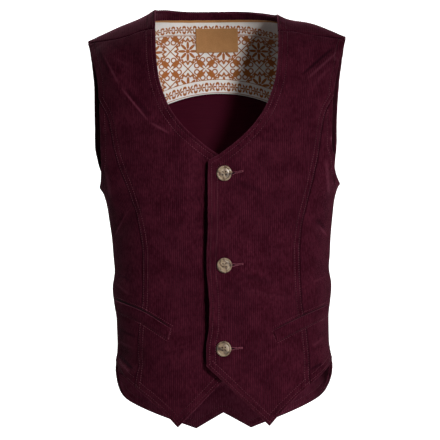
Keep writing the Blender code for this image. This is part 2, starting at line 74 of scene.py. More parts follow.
# edges and seams of the cut
cut = {
    # drop, across
    "frontEdge": [(31, 87), (54, 86.5), (93, 82.8), (135.5, 70.1), (165.6, 51), (192, 23.5),
                  (209.4, 0), (219.5, -14.6), (236, -15.4), (300, -16.2), (362, -19.6), (418, -16.4),
                  (448, -17.4), (479, -22.2), (502, -22)],
    # drop, across on the front, across on the back
    "armhole": [(39.5, 186, 186), (43, 185.6, 185.8), (60, 179.5, 184), (100, 169, 180),
                (150, 164.5, 178), (190, 163.5, 177), (220, 164.2, 172.8), (236, 166.8, 170),
                (246, 170.2, 171.4), (250, 173, 173)],
    "princess": [(128, 166), (155, 152.5), (209, 142), (273, 123.4), (315, 113), (346, 110),
                 (408, 111.3), (460, 118.4), (540, 123)],
    # across, drop
    "shoulder": [(87, 31), (107, 33), (127, 38), (147, 41.5), (173, 43), (190, 43.3)],
    "backNeck": [(0, -7.8), (40, -7), (70, -4.5), (87, 0)],
    "frontHemInside": [(-22, 502), (64, 587.5)],
    "frontHemOutside": [(64, 587.5), (82, 568), (126, 530), (151, 508), (157, 498)],
    "backHemNotch": [(0, 587), (41, 610)],
    "backHemOutside": [(41, 610), (100, 586), (135, 566.5), (147, 555), (154.8, 536),
                       (157.4, 514), (157.8, 498)],
    "princessTop": 128.0,
    "underarm": 250.0,
    "neckPoint": 87.0,
    # drops where an outline turns back on itself
    "splits": {"front": (418, 346), "side": (476, 368, 266), "back": (440, 368, 232, 112)},
    "seamGap": -0.5,  # the cloth's edges meet inside the seam
    "cloth": 2.4,
    "rowStep": 5.2,
    "backRowStep": 11.4,
    "strapRowStep": 4.0,
}
wholeBand = (-1000, 1000)  # past any drop of the cut

# folds and creases: face, from across and drop, to across and drop, width, height (a trough is negative)
folds = [
    ("front", -170, 50, -112, 150, 13, 5.0), ("front", -128, 125, -64, 188, 13, 4.4),
    ("front", -140, 58, -92, 140, 14, -2.6), ("front", 174, 46, 112, 104, 9, -4.4),
    ("front", 172, 74, 108, 134, 12, 4.2), ("front", -154, 214, -148, 288, 10, 4.0),
    ("front", -150, 322, -118, 276, 11, -3.6), ("front", 160, 204, 146, 236, 10, 3.6),
    ("front", 20, 396, 112, 420, 17, 2.6), ("front", -150, 480, -112, 506, 9, -4.0),
    ("front", -146, 506, -104, 544, 11, 3.2), ("front", 124, 506, 96, 556, 12, -3.0),
    ("back", -150, 90, -40, 190, 26, 3.0), ("back", 150, 84, 50, 176, 25, -2.4),
    ("back", -130, 372, 20, 396, 24, -2.6), ("back", 136, 390, -10, 424, 26, 3.0),
    ("back", -110, 470, -60, 560, 26, 2.4), ("back", 104, 480, 66, 572, 25, -2.4),
    # finer creases, too small for the solids
    ("front", 168, 48, 118, 55, 6, 1.5), ("front", -168, 62, -120, 118, 6, -1.2),
    ("front", 152, 216, 151, 264, 7, 1.5), ("front", 136, 308, 151, 326, 7, -1.6),
    ("front", -149, 489, -124, 508, 6, -2.4), ("front", 124, 512, 140, 506, 5, -1.5),
    ("front", -96, 205, -60, 250, 20, 1.0), ("front", 60, 190, 104, 160, 18, -0.9),
    ("front", -100, 400, -40, 380, 18, -1.0), ("front", 92, 348, 60, 330, 16, 0.9),
    ("front", -84, 470, -70, 560, 18, 1.0), ("front", 50, 450, 62, 560, 16, -0.9),
    ("front", 20, 250, 58, 268, 12, -0.9), ("front", 22, 374, 70, 386, 12, -1.0),
    ("front", -60, 300, -24, 250, 16, -0.9), ("front", -64, 500, -26, 486, 14, 0.8),
    ("back", -160, 250, -90, 300, 15, 2.6), ("back", 158, 256, 96, 318, 16, 2.4),
    ("back", -70, 330, 60, 344, 13, 2.0), ("back", -60, 410, 74, 402, 12, -2.0),
    ("back", 30, 60, 34, 260, 22, 1.6), ("back", -36, 80, -30, 240, 20, -1.4),
    ("back", -20, 450, -14, 560, 16, 1.8), ("back", 130, 470, 140, 540, 13, 1.9),
]


def curve(rows, along=0, value=1):  # a smooth line through a table's rows that never swings past them
    at = np.array([row[along] for row in rows], float)
    to = np.array([row[value] for row in rows], float)
    steps = np.diff(to) / np.diff(at)
    before, after = steps[:-1], steps[1:]
    same = before * after > 0
    middle = np.where(same, 2 * before * after / np.where(same, before + after, 1), 0)
    slopes = np.concatenate([steps[:1], middle, steps[-1:]])

    def valueAt(position):
        position = np.clip(position, at[0], at[-1])
        i = np.clip(np.searchsorted(at, position, side="right") - 1, 0, len(steps) - 1)
        length = at[i + 1] - at[i]
        t = (position - at[i]) / length
        keep = (1 + 2 * t) * (1 - t) ** 2
        leave = t * (1 - t) ** 2 * length
        arrive = t * t * (t - 1) * length
        return keep * to[i] + leave * slopes[i] + (1 - keep) * to[i + 1] + arrive * slopes[i + 1]

    return valueAt


def smoothStep(start, end, position):
    share = np.clip((position - start) / (end - start), 0, 1)
    return share * share * (3 - 2 * share)


halfWidth = curve(form["sections"], 0, 1)
depths = {"front": curve(form["sections"], 0, 2), "back": curve(form["sections"], 0, 3)}
sway = curve(form["sections"], 0, 4)
ridgeDrop = curve(form["ridge"])
frontEdge = curve(cut["frontEdge"])
armholes = {"front": curve(cut["armhole"], 0, 1), "back": curve(cut["armhole"], 0, 2)}
princess = curve(cut["princess"])
shoulderSeam = curve(cut["shoulder"])
backNeck = curve(cut["backNeck"])
lapGape = curve(form["lap"]["gape"])
frontHemInside, frontHemOutside = curve(cut["frontHemInside"]), curve(cut["frontHemOutside"])
backHemNotch, backHemOutside = curve(cut["backHemNotch"]), curve(cut["backHemOutside"])


def frontHem(across):
    return np.where(across < cut["frontHemOutside"][0][0], frontHemInside(across), frontHemOutside(across))


def backHem(across):
    across = np.abs(across)
    return np.where(across < cut["backHemOutside"][0][0], backHemNotch(across), backHemOutside(across))


def climb(turn, path, face):  # height, reach and facing side, up a wall and on over the shoulder
    crown, frontCrown = form["crown"][face], form["crown"]["front"]
    quarter = crown * math.pi / 2
    height = np.minimum(path, 0.0)
    for _ in range(5):
        ridge = -ridgeDrop(np.abs(halfWidth(-height) * np.sin(turn)))
        above = path - (ridge - crown)
        near = math.pi / 2 - np.clip(above, 0, quarter) / crown
        far = np.maximum(above - quarter, 0) / frontCrown
        over = above > quarter
        rounded = np.where(over, ridge - frontCrown * (1 - np.cos(far)), ridge - crown * (1 - np.cos(near)))
        height = np.where(above <= 0, path, rounded)
    reach = np.where(above <= 0, 1.0, np.where(over, np.sin(far), np.sin(near)))
    facing = np.where(over, -1, -1 if face == "front" else 1)
    return height, reach, facing


def depthAt(height, facing):
    return np.where(facing < 0, depths["front"](-height), depths["back"](-height))


def formPoint(turn, path, face):  # points of the smooth form
    height, reach, facing = climb(turn, path, face)
    across = halfWidth(-height) * np.sin(turn)
    rounding = np.cos(turn) * (1 + form["fullness"] * np.sin(turn) ** 2)
    tilt = form["neckTilt"]
    away = (np.abs(across) - tilt["at"]) / tilt["spread"]
    lean = -np.sign(across) * tilt["rise"] * np.exp(-away * away) * smoothStep(tilt["ends"], 0, -height)
    depth = facing * depthAt(height, facing) * reach * rounding
    return np.stack([across + sway(-height) * np.sin(turn) ** 2, depth, height + lean], 1)


def normalOf(turn, path, face):
    turnStep, pathStep = form["probe"]["turn"], form["probe"]["path"]
    around = formPoint(turn + turnStep, path, face) - formPoint(turn - turnStep, path, face)
    up = formPoint(turn, path + pathStep, face) - formPoint(turn, path - pathStep, face)
    normal = np.cross(around, up)
    normal /= np.linalg.norm(normal, axis=1)[:, None]
    return normal if face == "front" else -normal


def foldHeight(across, drop, face):
    total = np.zeros_like(across)
    for side, fromAcross, fromDrop, toAcross, toDrop, width, height in folds:
        if side != face:
            continue
        runAcross, runDrop = toAcross - fromAcross, toDrop - fromDrop
        along = (across - fromAcross) * runAcross + (drop - fromDrop) * runDrop
        share = np.clip(along / (runAcross ** 2 + runDrop ** 2), 0, 1)
        away = np.hypot(across - fromAcross - runAcross * share, drop - fromDrop - runDrop * share) / width
        total += height * np.exp(-away * away) * (1 - (2 * share - 1) ** 4)
    return total * smoothStep(1.0, 0.95, np.abs(across) / halfWidth(drop))


def lapRise(across, drop):  # how far the upper front stands off where it laps over the under one
    lap = form["lap"]
    edge = (lap["edgeRise"] + lapGape(drop)) * smoothStep(lap["edgeStart"], lap["edgeEnd"], across)
    return lap["rise"] * smoothStep(lap["start"], lap["end"], across) + edge


def underSink(across, drop):  # how far the under front sinks in there
    under = form["under"]
    return -under["sink"] * smoothStep(under["start"], under["end"], across)


def sectionSpeed(turn, width, depth):
    slope = np.sin(turn) * (1 - form["fullness"] * (2 * np.cos(turn) ** 2 - np.sin(turn) ** 2))
    return np.hypot(width * np.cos(turn), depth * slope)


gaussAt, gaussWeight = np.polynomial.legendre.leggauss(6)


def arcOf(turn, width, depth):  # length of cloth round the body from the centre line
    total = 0
    for at, weight in zip(gaussAt, gaussWeight):
        total = total + weight * sectionSpeed(turn * (at + 1) / 2, width, depth)
    return total * turn / 2


def turnOf(arc, width, depth):
    turn = arc / width
    for _ in range(5):
        turn = turn - (arcOf(turn, width, depth) - arc) / np.maximum(sectionSpeed(turn, width, depth), 20)
    return turn


def pathOf(across, drop, face):
    crown, ridge = form["crown"][face], ridgeDrop(np.abs(across))
    angle = np.arccos(np.clip(1 - (drop - ridge) / crown, 0, 1))
    return np.where(drop - ridge >= crown, -drop, -ridge - crown + crown * (math.pi / 2 - angle))


def flatOf(across, drop, face, grain="centre"):  # a line on the form, laid flat
    across, drop = np.broadcast_arrays(np.atleast_1d(across).astype(float), drop)
    crown = form["crown"][face]
    cosine = np.clip(1 - (drop - ridgeDrop(np.abs(across))) / crown, 0, 1)
    width = halfWidth(drop)
    depth = depths[face](drop) * np.sqrt(1 - cosine ** 2)
    arc = arcOf(np.arcsin(np.clip(across / width, -1, 1)), width, depth)
    if grain == "side":
        arc = arc - arcOf(math.pi / 2, width, depth)
    return np.stack([arc, pathOf(across, drop, face)], 1)


def wornTurn(flat, face, grain):
    path = flat[:, 1]
    height, reach = np.minimum(path, 0.0), np.ones(len(path))
    facing = np.full(len(path), -1 if face == "front" else 1)
    for _ in range(4):
        width, depth = halfWidth(-height), depthAt(height, facing) * reach
        arc = flat[:, 0] + (arcOf(math.pi / 2, width, depth) if grain == "side" else 0)
        turn = turnOf(arc, width, depth)
        height, reach, facing = climb(turn, path, face)
    return turn


def wear(flat, face, side=1, grain="centre", lift=0.0, laps=None):  # flat cloth to its place on the form
    turn = side * wornTurn(flat, face, grain)
    base = formPoint(turn, flat[:, 1], face)
    normal = normalOf(turn, flat[:, 1], face)
    height = foldHeight(base[:, 0], -base[:, 2], face) + lift
    if laps:
        height = height + laps(base[:, 0], -base[:, 2])
    return base + normal * height[:, None], normal


def lengthsAlong(line):
    return np.concatenate([[0], np.cumsum(np.linalg.norm(np.diff(line, axis=0), axis=1))])


def fewer(line, slack=0.03):  # the same line with only the points that it needs
    run = line[-1] - line[0]
    across = np.array([-run[1], run[0]]) / max(np.hypot(*run), 1e-9)
    off = np.abs((line - line[0]) @ across)
    widest = int(off.argmax())
    if off[widest] < slack or len(line) < 3:
        return line[[0, -1]]
    return np.concatenate([fewer(line[:widest + 1], slack)[:-1], fewer(line[widest:], slack)])


def distanceTo(points, line):  # from flat points to a flat line
    line = fewer(line)
    start, run = line[:-1], np.diff(line, axis=0)
    squared = np.maximum((run ** 2).sum(1), 1e-9)
    nearest = np.full(len(points), 1e9)
    for i in range(len(run)):
        away = points - start[i]
        share = np.clip((away @ run[i]) / squared[i], 0, 1)
        nearest = np.minimum(nearest, ((away - share[:, None] * run[i]) ** 2).sum(1))
    return np.sqrt(nearest)


def insideOf(points, polygon):
    inside = np.zeros(len(points), bool)
    for a, b in zip(polygon, np.roll(polygon, -1, axis=0)):
        crosses = (a[1] > points[:, 1]) != (b[1] > points[:, 1])
        if crosses.any():
            at = a[0] + (points[:, 1] - a[1]) / (b[1] - a[1] if b[1] != a[1] else 1e-9) * (b[0] - a[0])
            inside ^= crosses & (points[:, 0] < at)
    return inside


def areaOf(polygon):
    x, y = polygon[:, 0], polygon[:, 1]
    return abs((x * np.roll(y, -1) - y * np.roll(x, -1)).sum()) / 2


# corduroy: ribs of cut pile, real relief in every panel
corduroy = {
    "wale": 2.9,            # from rib to rib
    "columns": 4,           # columns of mesh to a rib
    "relief": 0.60,         # rib top over groove
    "sink": 0.34,           # groove under the panel's face
    "edgeRoll": 1.7,        # how near a turned edge begins to round
    "edgeFall": 1.1,
    "seamRoll": 3.0,
    "seamFall": 2.1,
    "stitchDent": 0.7,
    "stitchDentWidth": 1.1,
    "puckerLength": 11.0,
    "puckerHeight": 0.6,
    "puckerReach": 9.0,
    "puckerStart": 2.5,
    "edgeTone": 1.3,        # how far the painted shade on a seam or the lighter nap on an edge, partly rubbed wear and partly painted sheen, reaches
    "seamShade": -1.0,
    "edgeWearAndSheen": 0.7,
    "seamUnder": -0.7,      # how far the wrong side moves there
    "edgeUnder": 0.5,
    # where the rows lie that round off a finished edge
    "edgeRows": (0, 0.9, 2.2, 4, 6, 8.5, 11.5, 14.5, 18),
    "edgeRowsFit": 60.0,    # a shorter column has them closer
    "puckers": ((0.0, 1.0), (2.1, 0.6), (4.0, 0.45)),  # start and share of each wave
}


def waleHeight(across):
    phase = np.mod(across / corduroy["wale"], 1.0)
    return corduroy["relief"] * np.sin(math.pi * phase) ** 0.75 - corduroy["sink"]


def columnSpans(polygon, columns, low, high):  # where each column of thread enters and leaves the cut
    ahead = np.roll(polygon, -1, axis=0)
    spans = []
    for column in columns:
        crossed = (polygon[:, 0] - column) * (ahead[:, 0] - column) < 0
        a, b = polygon[crossed], ahead[crossed]
        heights = np.sort(a[:, 1] + (column - a[:, 0]) / (b[:, 0] - a[:, 0]) * (b[:, 1] - a[:, 1]))
        pairs = [(max(s, low), min(e, high)) for s, e in zip(heights[::2], heights[1::2])]
        pairs = [pair for pair in pairs if pair[1] - pair[0] > 0.2]
        spans.append(max(pairs, key=lambda pair: pair[1] - pair[0]) if pairs else None)
    return spans


def rowsFor(length, step, lowEdge, highEdge):  # heights up a column, closer together near a finished edge
    near = np.array(corduroy["edgeRows"]) * min(1, length / corduroy["edgeRowsFit"])
    low = near if lowEdge else near[:1]
    high = near if highEdge else near[:1]
    count = max(int((length - low[-1] - high[-1]) / step), 2)
    middle = np.linspace(low[-1], length - high[-1], count + 1)
    return np.concatenate([low[:-1], middle, (length - high[:-1])[::-1]]) / length


def cutCloth(polygon, bands, step, columnStep):  # a flat panel with columns along its ribs, as a bmesh
    cloth = bmesh.new()
    first = math.floor(polygon[:, 0].min() / columnStep)
    last = math.ceil(polygon[:, 0].max() / columnStep)
    columns = np.arange(first, last + 1) * columnStep + 1e-4
    for number, (low, high) in enumerate(zip(bands, bands[1:])):
        spans = columnSpans(polygon, columns, low, high)
        held = [i for i, span in enumerate(spans) if span]
        if not held:
            continue
        start, end = held[0], held[-1]
        longest = max(spans[i][1] - spans[i][0] for i in held)
        shares = rowsFor(longest, step, number == 0, number == len(bands) - 2)
        grid = bmesh.ops.create_grid(cloth, x_segments=end - start, y_segments=len(shares) - 1, size=0.5)
        for vertex in grid["verts"]:
            i = start + round((vertex.co.x + 0.5) * (end - start))
            share = shares[round((vertex.co.y + 0.5) * (len(shares) - 1))]
            bottom, top = spans[i] or spans[min(held, key=lambda other: abs(other - i))]
            vertex.co = (columns[i], bottom + (top - bottom) * share, 0)
    bmesh.ops.remove_doubles(cloth, verts=cloth.verts, dist=0.002)
    return cloth


def thicken(cloth):  # the wrong side of the cloth, marked by its depth until it is worn
    bmesh.ops.recalc_face_normals(cloth, faces=cloth.faces)
    if sum(face.normal.z for face in cloth.faces) < 0:
        bmesh.ops.reverse_faces(cloth, faces=cloth.faces)
    grown = bmesh.ops.extrude_face_region(cloth, geom=cloth.faces[:])
    for vertex in grown["geom"]:
        if isinstance(vertex, bmesh.types.BMVert):
            vertex.co.z = -1
    bmesh.ops.recalc_face_normals(cloth, faces=cloth.faces)
    return cloth


def newPiece(name, mesh, material, replaced=None):
    piece = bpy.data.objects.new(name, mesh)
    bpy.context.collection.objects.link(piece)
    mesh.materials.append(material)
    mesh.shade_smooth()
    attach(piece, "root")
    if replaced:
        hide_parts(replaced)
    return piece


def flatMap(mesh, flat, side):  # the cut's own lie as a UV map, in metres
    corners = np.empty(len(mesh.loops), np.int32)
    mesh.loops.foreach_get("vertex_index", corners)
    layer = mesh.uv_layers.new(name="flat")
    layer.data.foreach_set("uv", (flat[corners] * [side * mm, mm]).astype(np.float32).ravel())


def wornPiece(name, cloth, material, node, place):  # place gives worn points for flat ones
    mesh = bpy.data.meshes.new(name)
    cloth.to_mesh(mesh)
    cloth.free()
    spots = np.empty(len(mesh.vertices) * 3, np.float32)
    mesh.vertices.foreach_get("co", spots)
    spots = spots.reshape(-1, 3).astype(float)
    worn, side, *tone = place(spots[:, :2], spots[:, 2] < -0.5)
    # tone: the painted seam shade and the lighter edge nap, kept as the point attribute edges
    if tone:
        edges = mesh.attributes.new("edges", "FLOAT", "POINT")
        edges.data.foreach_set("value", tone[0].astype(np.float32))
    flatMap(mesh, spots[:, :2], side)
    mesh.vertices.foreach_set("co", (worn * mm).astype(np.float32).ravel())
    if side < 0:
        mesh.flip_normals()
    mesh.update()
    piece = newPiece(name, mesh, material, node)
    print(name, len(mesh.polygons), "faces")
    return piece


def pucker(flat, seed):  # the small waves that a row of stitches draws up
    wave = np.zeros(len(flat))
    for turn, share in corduroy["puckers"]:
        length = corduroy["puckerLength"] * (0.7 + share)
        wave += share * np.sin((flat[:, 1] + 0.6 * flat[:, 0]) * 2 * math.pi / length + turn + seed)
    return wave / 2


def panelPlace(panel):
    def place(flat, wrongSide):
        lift = waleHeight(flat[:, 0])
        under = np.full(len(flat), -panel["cloth"])
        tone = np.zeros(len(flat))
        for number, (name, line) in enumerate(panel["lines"].items()):
            away = distanceTo(flat, line)
            finish = panel["finish"].get(name, {})
            kind = "seam" if finish.get("seam") else "edge"
            near = 1 - np.clip(away / corduroy[kind + "Roll"], 0, 1)
            lift -= corduroy[kind + "Fall"] * (1 - np.sqrt(1 - near ** 2))
            under += corduroy[kind + "Under"] * near ** 2
            # painted shade over a seam; on a turned edge lighter nap, partly rubbed wear and partly painted
            # sheen
            shade = corduroy["seamShade"] if kind == "seam" else corduroy["edgeWearAndSheen"]
            tone += shade * np.exp(-(away / corduroy["edgeTone"]) ** 2)
            for row in finish.get("rows", ()):
                lift -= corduroy["stitchDent"] * np.exp(-((away - row) / corduroy["stitchDentWidth"]) ** 2)
            if finish.get("rows"):
                reach = np.exp(-(away / corduroy["puckerReach"]) ** 2)
                reach *= smoothStep(0, corduroy["puckerStart"], away)
                wave = corduroy["puckerHeight"] * reach * pucker(flat, number + panel["side"])
                lift += wave
                under += wave
        height = np.where(wrongSide, under, lift)
        worn, _ = wear(flat, panel["face"], panel["side"], panel["grain"], height, panel["laps"])
        return worn, panel["side"], tone
    return place


def lineBetween(start, end, count):
    return np.linspace(start, end, count)


def bandsOf(part):
    return (wholeBand[0], *(-drop for drop in cut["splits"][part]), wholeBand[1])


def princessFoot():  # the drop at which the princess seam meets the hem
    drop = cut["princess"][-1][0]
    for _ in range(20):
        drop = float(frontHem(princess(drop)))
    return drop


def frontPanel(side):
    drops = lineBetween(cut["frontEdge"][0][0], cut["frontEdge"][-1][0], 240)
    meet = princessFoot()
    tip = cut["frontHemOutside"][0][0]
    hemAcross = np.concatenate([lineBetween(cut["frontHemInside"][0][0], tip, 60),
                                lineBetween(tip, float(princess(meet)), 50)[1:]])
    seamDrops = lineBetween(meet, cut["princessTop"], 200)
    holeDrops = lineBetween(cut["princessTop"], cut["armhole"][1][0], 50)
    seamAcross = lineBetween(cut["armhole"][1][1], cut["neckPoint"], 60)
    lines = {
        "edge": flatOf(frontEdge(drops), drops, "front"),
        "hem": flatOf(hemAcross, frontHem(hemAcross), "front"),
        "princess": flatOf(princess(seamDrops), seamDrops, "front") - [cut["seamGap"] / 2, 0],
        "armhole": flatOf(armholes["front"](holeDrops), holeDrops, "front"),
        "shoulder": flatOf(seamAcross, shoulderSeam(seamAcross), "front") - [0, cut["seamGap"]],
    }
    return {
        "lines": lines, "face": "front", "side": side, "grain": "centre", "cloth": cut["cloth"],
        "laps": lapRise if side > 0 else underSink, "bands": bandsOf("front"), "step": cut["rowStep"],
        "finish": {
            "edge": {"rows": (5.0, 12.8)}, "hem": {"rows": (4.2, 11.0)}, "armhole": {"rows": (11.0,)},
            "princess": {"seam": True, "rows": (2.2, 8.8)}, "shoulder": {"seam": True},
        },
    }


def sidePanel(side):
    meet = princessFoot()
    seamDrops = lineBetween(cut["princessTop"], meet, 200)
    hemAcross = lineBetween(float(princess(meet)), cut["frontHemOutside"][-1][0], 60)
    sideDrops = lineBetween(cut["frontHemOutside"][-1][1], cut["underarm"], 120)
    holeDrops = lineBetween(cut["underarm"], cut["princessTop"], 120)
    gap = [cut["seamGap"] / 2, 0]
    lines = {
        "princess": flatOf(princess(seamDrops), seamDrops, "front", "side") + gap,
        "hem": flatOf(hemAcross, frontHem(hemAcross), "front", "side"),
        "side": flatOf(halfWidth(sideDrops), sideDrops, "front", "side") - gap,
        "armhole": flatOf(armholes["front"](holeDrops), holeDrops, "front", "side"),
    }
    return {
        "lines": lines, "face": "front", "side": side, "grain": "side", "cloth": cut["cloth"],
        "laps": None, "bands": bandsOf("side"), "step": cut["rowStep"],
        "finish": {
            "hem": {"rows": (4.2, 11.0)}, "armhole": {"rows": (11.0,)},
            "princess": {"seam": True}, "side": {"seam": True},
        },
    }


def backPanel():
    neck, underarm = cut["neckPoint"], cut["underarm"]
    hemDrop = cut["backHemOutside"][-1][1]
    tip, hemEnd = cut["backHemOutside"][0][0], cut["backHemOutside"][-1][0]
    hemAcross = np.concatenate([lineBetween(0, tip, 40), lineBetween(tip, hemEnd, 120)[1:]])
    sideDrops = lineBetween(hemDrop, underarm, 160)
    holeDrops = lineBetween(underarm, cut["armhole"][0][0], 160)
    ridgeAcross = lineBetween(cut["armhole"][0][2], neck, 60)
    neckAcross = lineBetween(neck, 0, 60)
    frontCrown = form["crown"]["front"]
    ridgeFlat = flatOf(ridgeAcross, ridgeDrop(ridgeAcross), "back")
    below = shoulderSeam(ridgeAcross) - ridgeDrop(ridgeAcross)
    over = frontCrown * np.arccos(1 - below / frontCrown) - cut["seamGap"]
    seamFlat = ridgeFlat + np.stack([0 * over, over], 1)
    hole = flatOf(armholes["back"](holeDrops), holeDrops, "back")
    half = {
        "hem": flatOf(hemAcross, backHem(hemAcross), "back"),
        "side": flatOf(halfWidth(sideDrops), sideDrops, "back") - [cut["seamGap"] / 2, 0],
        "armhole": np.concatenate([hole, [ridgeFlat[0], seamFlat[0]]]),
        "shoulder": seamFlat,
        "neckSide": lineBetween(0, 1, 12)[:, None] * (ridgeFlat[-1] - seamFlat[-1]) + seamFlat[-1],
        "neck": flatOf(neckAcross, backNeck(neckAcross), "back"),
    }
    return {
        "half": half, "ridge": ridgeFlat, "face": "back", "side": 1, "grain": "centre",
        "cloth": cut["cloth"], "laps": None, "bands": bandsOf("back"), "step": cut["backRowStep"],
        "finish": {
            "hem": {"rows": (3.6, 13.4)}, "armhole": {"rows": (11.0,)}, "neck": {"rows": (3.4, 11.6)},
            "neckSide": {"rows": (3.4, 11.6)}, "shoulder": {"seam": True},
            "side": {"seam": True},
        },
    }


def polygonOf(lines):
    return np.concatenate([line[:-1] for line in lines.values()])


class Wire:  # a socket of a material, so that shader maths reads as plain expressions
    def __init__(self, tree, socket):
        self.tree = tree
        self.socket = socket

    def add(self, kind, settings=None, links=None, give=0):
        node = self.tree.nodes.new(kind)
        for key, value in (settings or {}).items():
            if key == "stops":
                while len(node.color_ramp.elements) < len(value):
                    node.color_ramp.elements.new(0.5)
                for element, (position, colour) in zip(node.color_ramp.elements, value):
                    element.position = position
                    element.color = (*colour, 1)
            else:
                setattr(node, key, value)
        for key, value in (links or {}).items():
            if isinstance(value, Wire):
                self.tree.links.new(value.socket, node.inputs[key])
            else:
                node.inputs[key].default_value = value
        return Wire(self.tree, node.outputs[give])

    def math(self, operation, *values, clamp=False):
        links = {i: value for i, value in enumerate((self, *values))}
        return self.add("ShaderNodeMath", {"operation": operation, "use_clamp": clamp}, links)

    def __add__(self, other):
        return self.math("ADD", other)

    def __radd__(self, other):
        return self.math("ADD", other)

    def __sub__(self, other):
        return self.math("SUBTRACT", other)

    def __rsub__(self, other):
        return (self * -1) + other

    def __mul__(self, other):
        return self.math("MULTIPLY", other)

    def __rmul__(self, other):
        return self.math("MULTIPLY", other)

    def __truediv__(self, other):
        return self.math("DIVIDE", other)

    def __abs__(self):
        return self.math("ABSOLUTE")

    def vectorMath(self, operation, value=None, give=0):
        links = {0: self} if value is None else {0: self, 1: value}
        return self.add("ShaderNodeVectorMath", {"operation": operation}, links, give)

    def mixed(self, low, high):  # this value mixes two colours
        return self.add("ShaderNodeMix", {"data_type": "RGBA", "clamp_factor": True},
                        {0: self, 6: low, 7: high}, give=2)

    def axis(self, number):  # one number of a vector
        return self.add("ShaderNodeSeparateXYZ", None, {0: self}, number)

    def spot(self):  # the place on the piece
        return self.add("ShaderNodeTexCoord", give=3)

    def most(self, *others):
        largest = self
        for other in others:
            largest = largest.math("MAXIMUM", other)
        return largest

    def vector(self, x, y, z=0.0):
        return self.add("ShaderNodeCombineXYZ", None, {0: x, 1: y, 2: z})

    def noise(self, vector, scale, detail=2.0, rough=0.5):
        return self.add("ShaderNodeTexNoise", {"noise_dimensions": "3D"},
                        {"Vector": vector, "Scale": scale, "Detail": detail, "Roughness": rough})

    def soft(self, low, high):  # 0 below low, 1 above high
        return ((self - low) / (high - low)).math("MULTIPLY", 1.0, clamp=True)


def newMaterial(name, **fixed):
    material = bpy.data.materials.new(name)
    material.use_nodes = True
    tree = material.node_tree
    shader = tree.nodes["Principled BSDF"]
    for socket, value in fixed.items():
        shader.inputs[socket.replace("_", " ")].default_value = value
    return material, Wire(tree, None), shader


def plug(start, shader, **wires):
    for socket, wire in wires.items():
        start.tree.links.new(wire.socket, shader.inputs[socket.replace("_", " ")])


def clothMap(start):
    flat = start.add("ShaderNodeUVMap", {"uv_map": "flat"})
    return flat, flat.axis(0), flat.axis(1)


def bumped(start, height, strength, distance):
    return start.add("ShaderNodeBump", None, {"Height": height, "Strength": strength, "Distance": distance})


# painted highlight and shade along sharp creases, where light would catch the nap or miss it: across and drop
# at both ends, width, lighter (highlight) or darker (shade)
paintedCreases = {
    "front": [
        (-164, 58, -137, 110, 1.9, 0.9), (-137, 110, -96, 162, 1.7, 1.0),
        (-96, 162, -68, 179, 1.9, 0.8), (-172, 48, -150, 92, 3.0, -0.7),
        (-130, 112, -92, 157, 3.4, -0.6), (-150, 66, -120, 84, 3.0, 0.4),
        (166, 57, 117, 100, 2.0, -1.0), (171, 64, 123, 107, 2.2, 0.8), (160, 86, 130, 118, 3.5, 0.4),
        (-160, 226, -153, 269, 3.2, 0.8), (-129, 284, -151, 321, 1.7, 1.0),
        (-131, 287, -150, 312, 3.2, -0.6), (150, 214, 155, 270, 3.0, 0.8),
        (138, 308, 153, 327, 2.0, 0.9), (134, 300, 149, 316, 3.0, -0.7),
        (-149, 489, -126, 507, 2.2, -1.7), (-149, 497, -130, 512, 2.6, 0.9),
        (-152, 470, -124, 478, 3.0, 0.6), (122, 512, 141, 504, 2.0, -0.9),
        (150, 382, 128, 390, 2.2, 0.5), (-150, 372, -126, 384, 2.2, -0.5),
        (20, 246, 62, 262, 5.0, -0.4), (24, 396, 100, 414, 7.0, 0.3), (24, 376, 78, 390, 5.0, -0.4),
        (-148, 452, -122, 462, 2.0, -0.8), (-151, 386, -128, 404, 2.4, 0.6),
        (146, 468, 126, 480, 2.4, 0.6),
    ],
    "back": [
        (-158, 250, -104, 292, 2.4, 0.8), (-154, 262, -110, 302, 3.2, -0.7),
        (156, 254, 100, 312, 2.6, 0.7), (-66, 331, 40, 343, 2.6, 0.6), (-50, 338, 52, 350, 3.4, -0.6),
        (-48, 409, 66, 403, 2.4, -0.7), (128, 392, 20, 418, 3.0, 0.6), (-140, 100, -70, 162, 2.8, 0.6),
        (142, 94, 74, 156, 2.8, -0.6), (132, 474, 139, 532, 2.4, 0.7), (-106, 482, -72, 548, 3.0, 0.6),
        (-18, 458, -14, 548, 3.0, -0.5),
    ],
}


def paintedCreaseLight(start):  # painted highlight on a crease's crest and painted shade in its fold
    spot = start.spot()
    depth = spot.axis(1)
    total = depth * 0
    for face, side in (("front", "LESS_THAN"), ("back", "GREATER_THAN")):
        marks = depth * 0
        for fromAcross, fromDrop, toAcross, toDrop, width, strength in paintedCreases[face]:
            begin = Vector((fromAcross, 0, -fromDrop)) * mm
            run = Vector((toAcross, 0, -toDrop)) * mm - begin
            level = spot.vectorMath("MULTIPLY", (1, 0, 1)).vectorMath("SUBTRACT", begin)
            share = level.vectorMath("DOT_PRODUCT", run / run.length_squared, give=1)
            share = share.math("MULTIPLY", 1.0, clamp=True)
            away = level.vectorMath("SUBTRACT", share.vector(share * run.x, 0.0, share * run.z))
            far = away.vectorMath("LENGTH", give=1) / (width * mm)
            ends = 1 - (share * 2 - 1).math("POWER", 4.0)
            marks = marks + (far * far * -1).math("EXPONENT") * ends * strength
        total = total + marks * depth.math(side, 0.0)
    return total


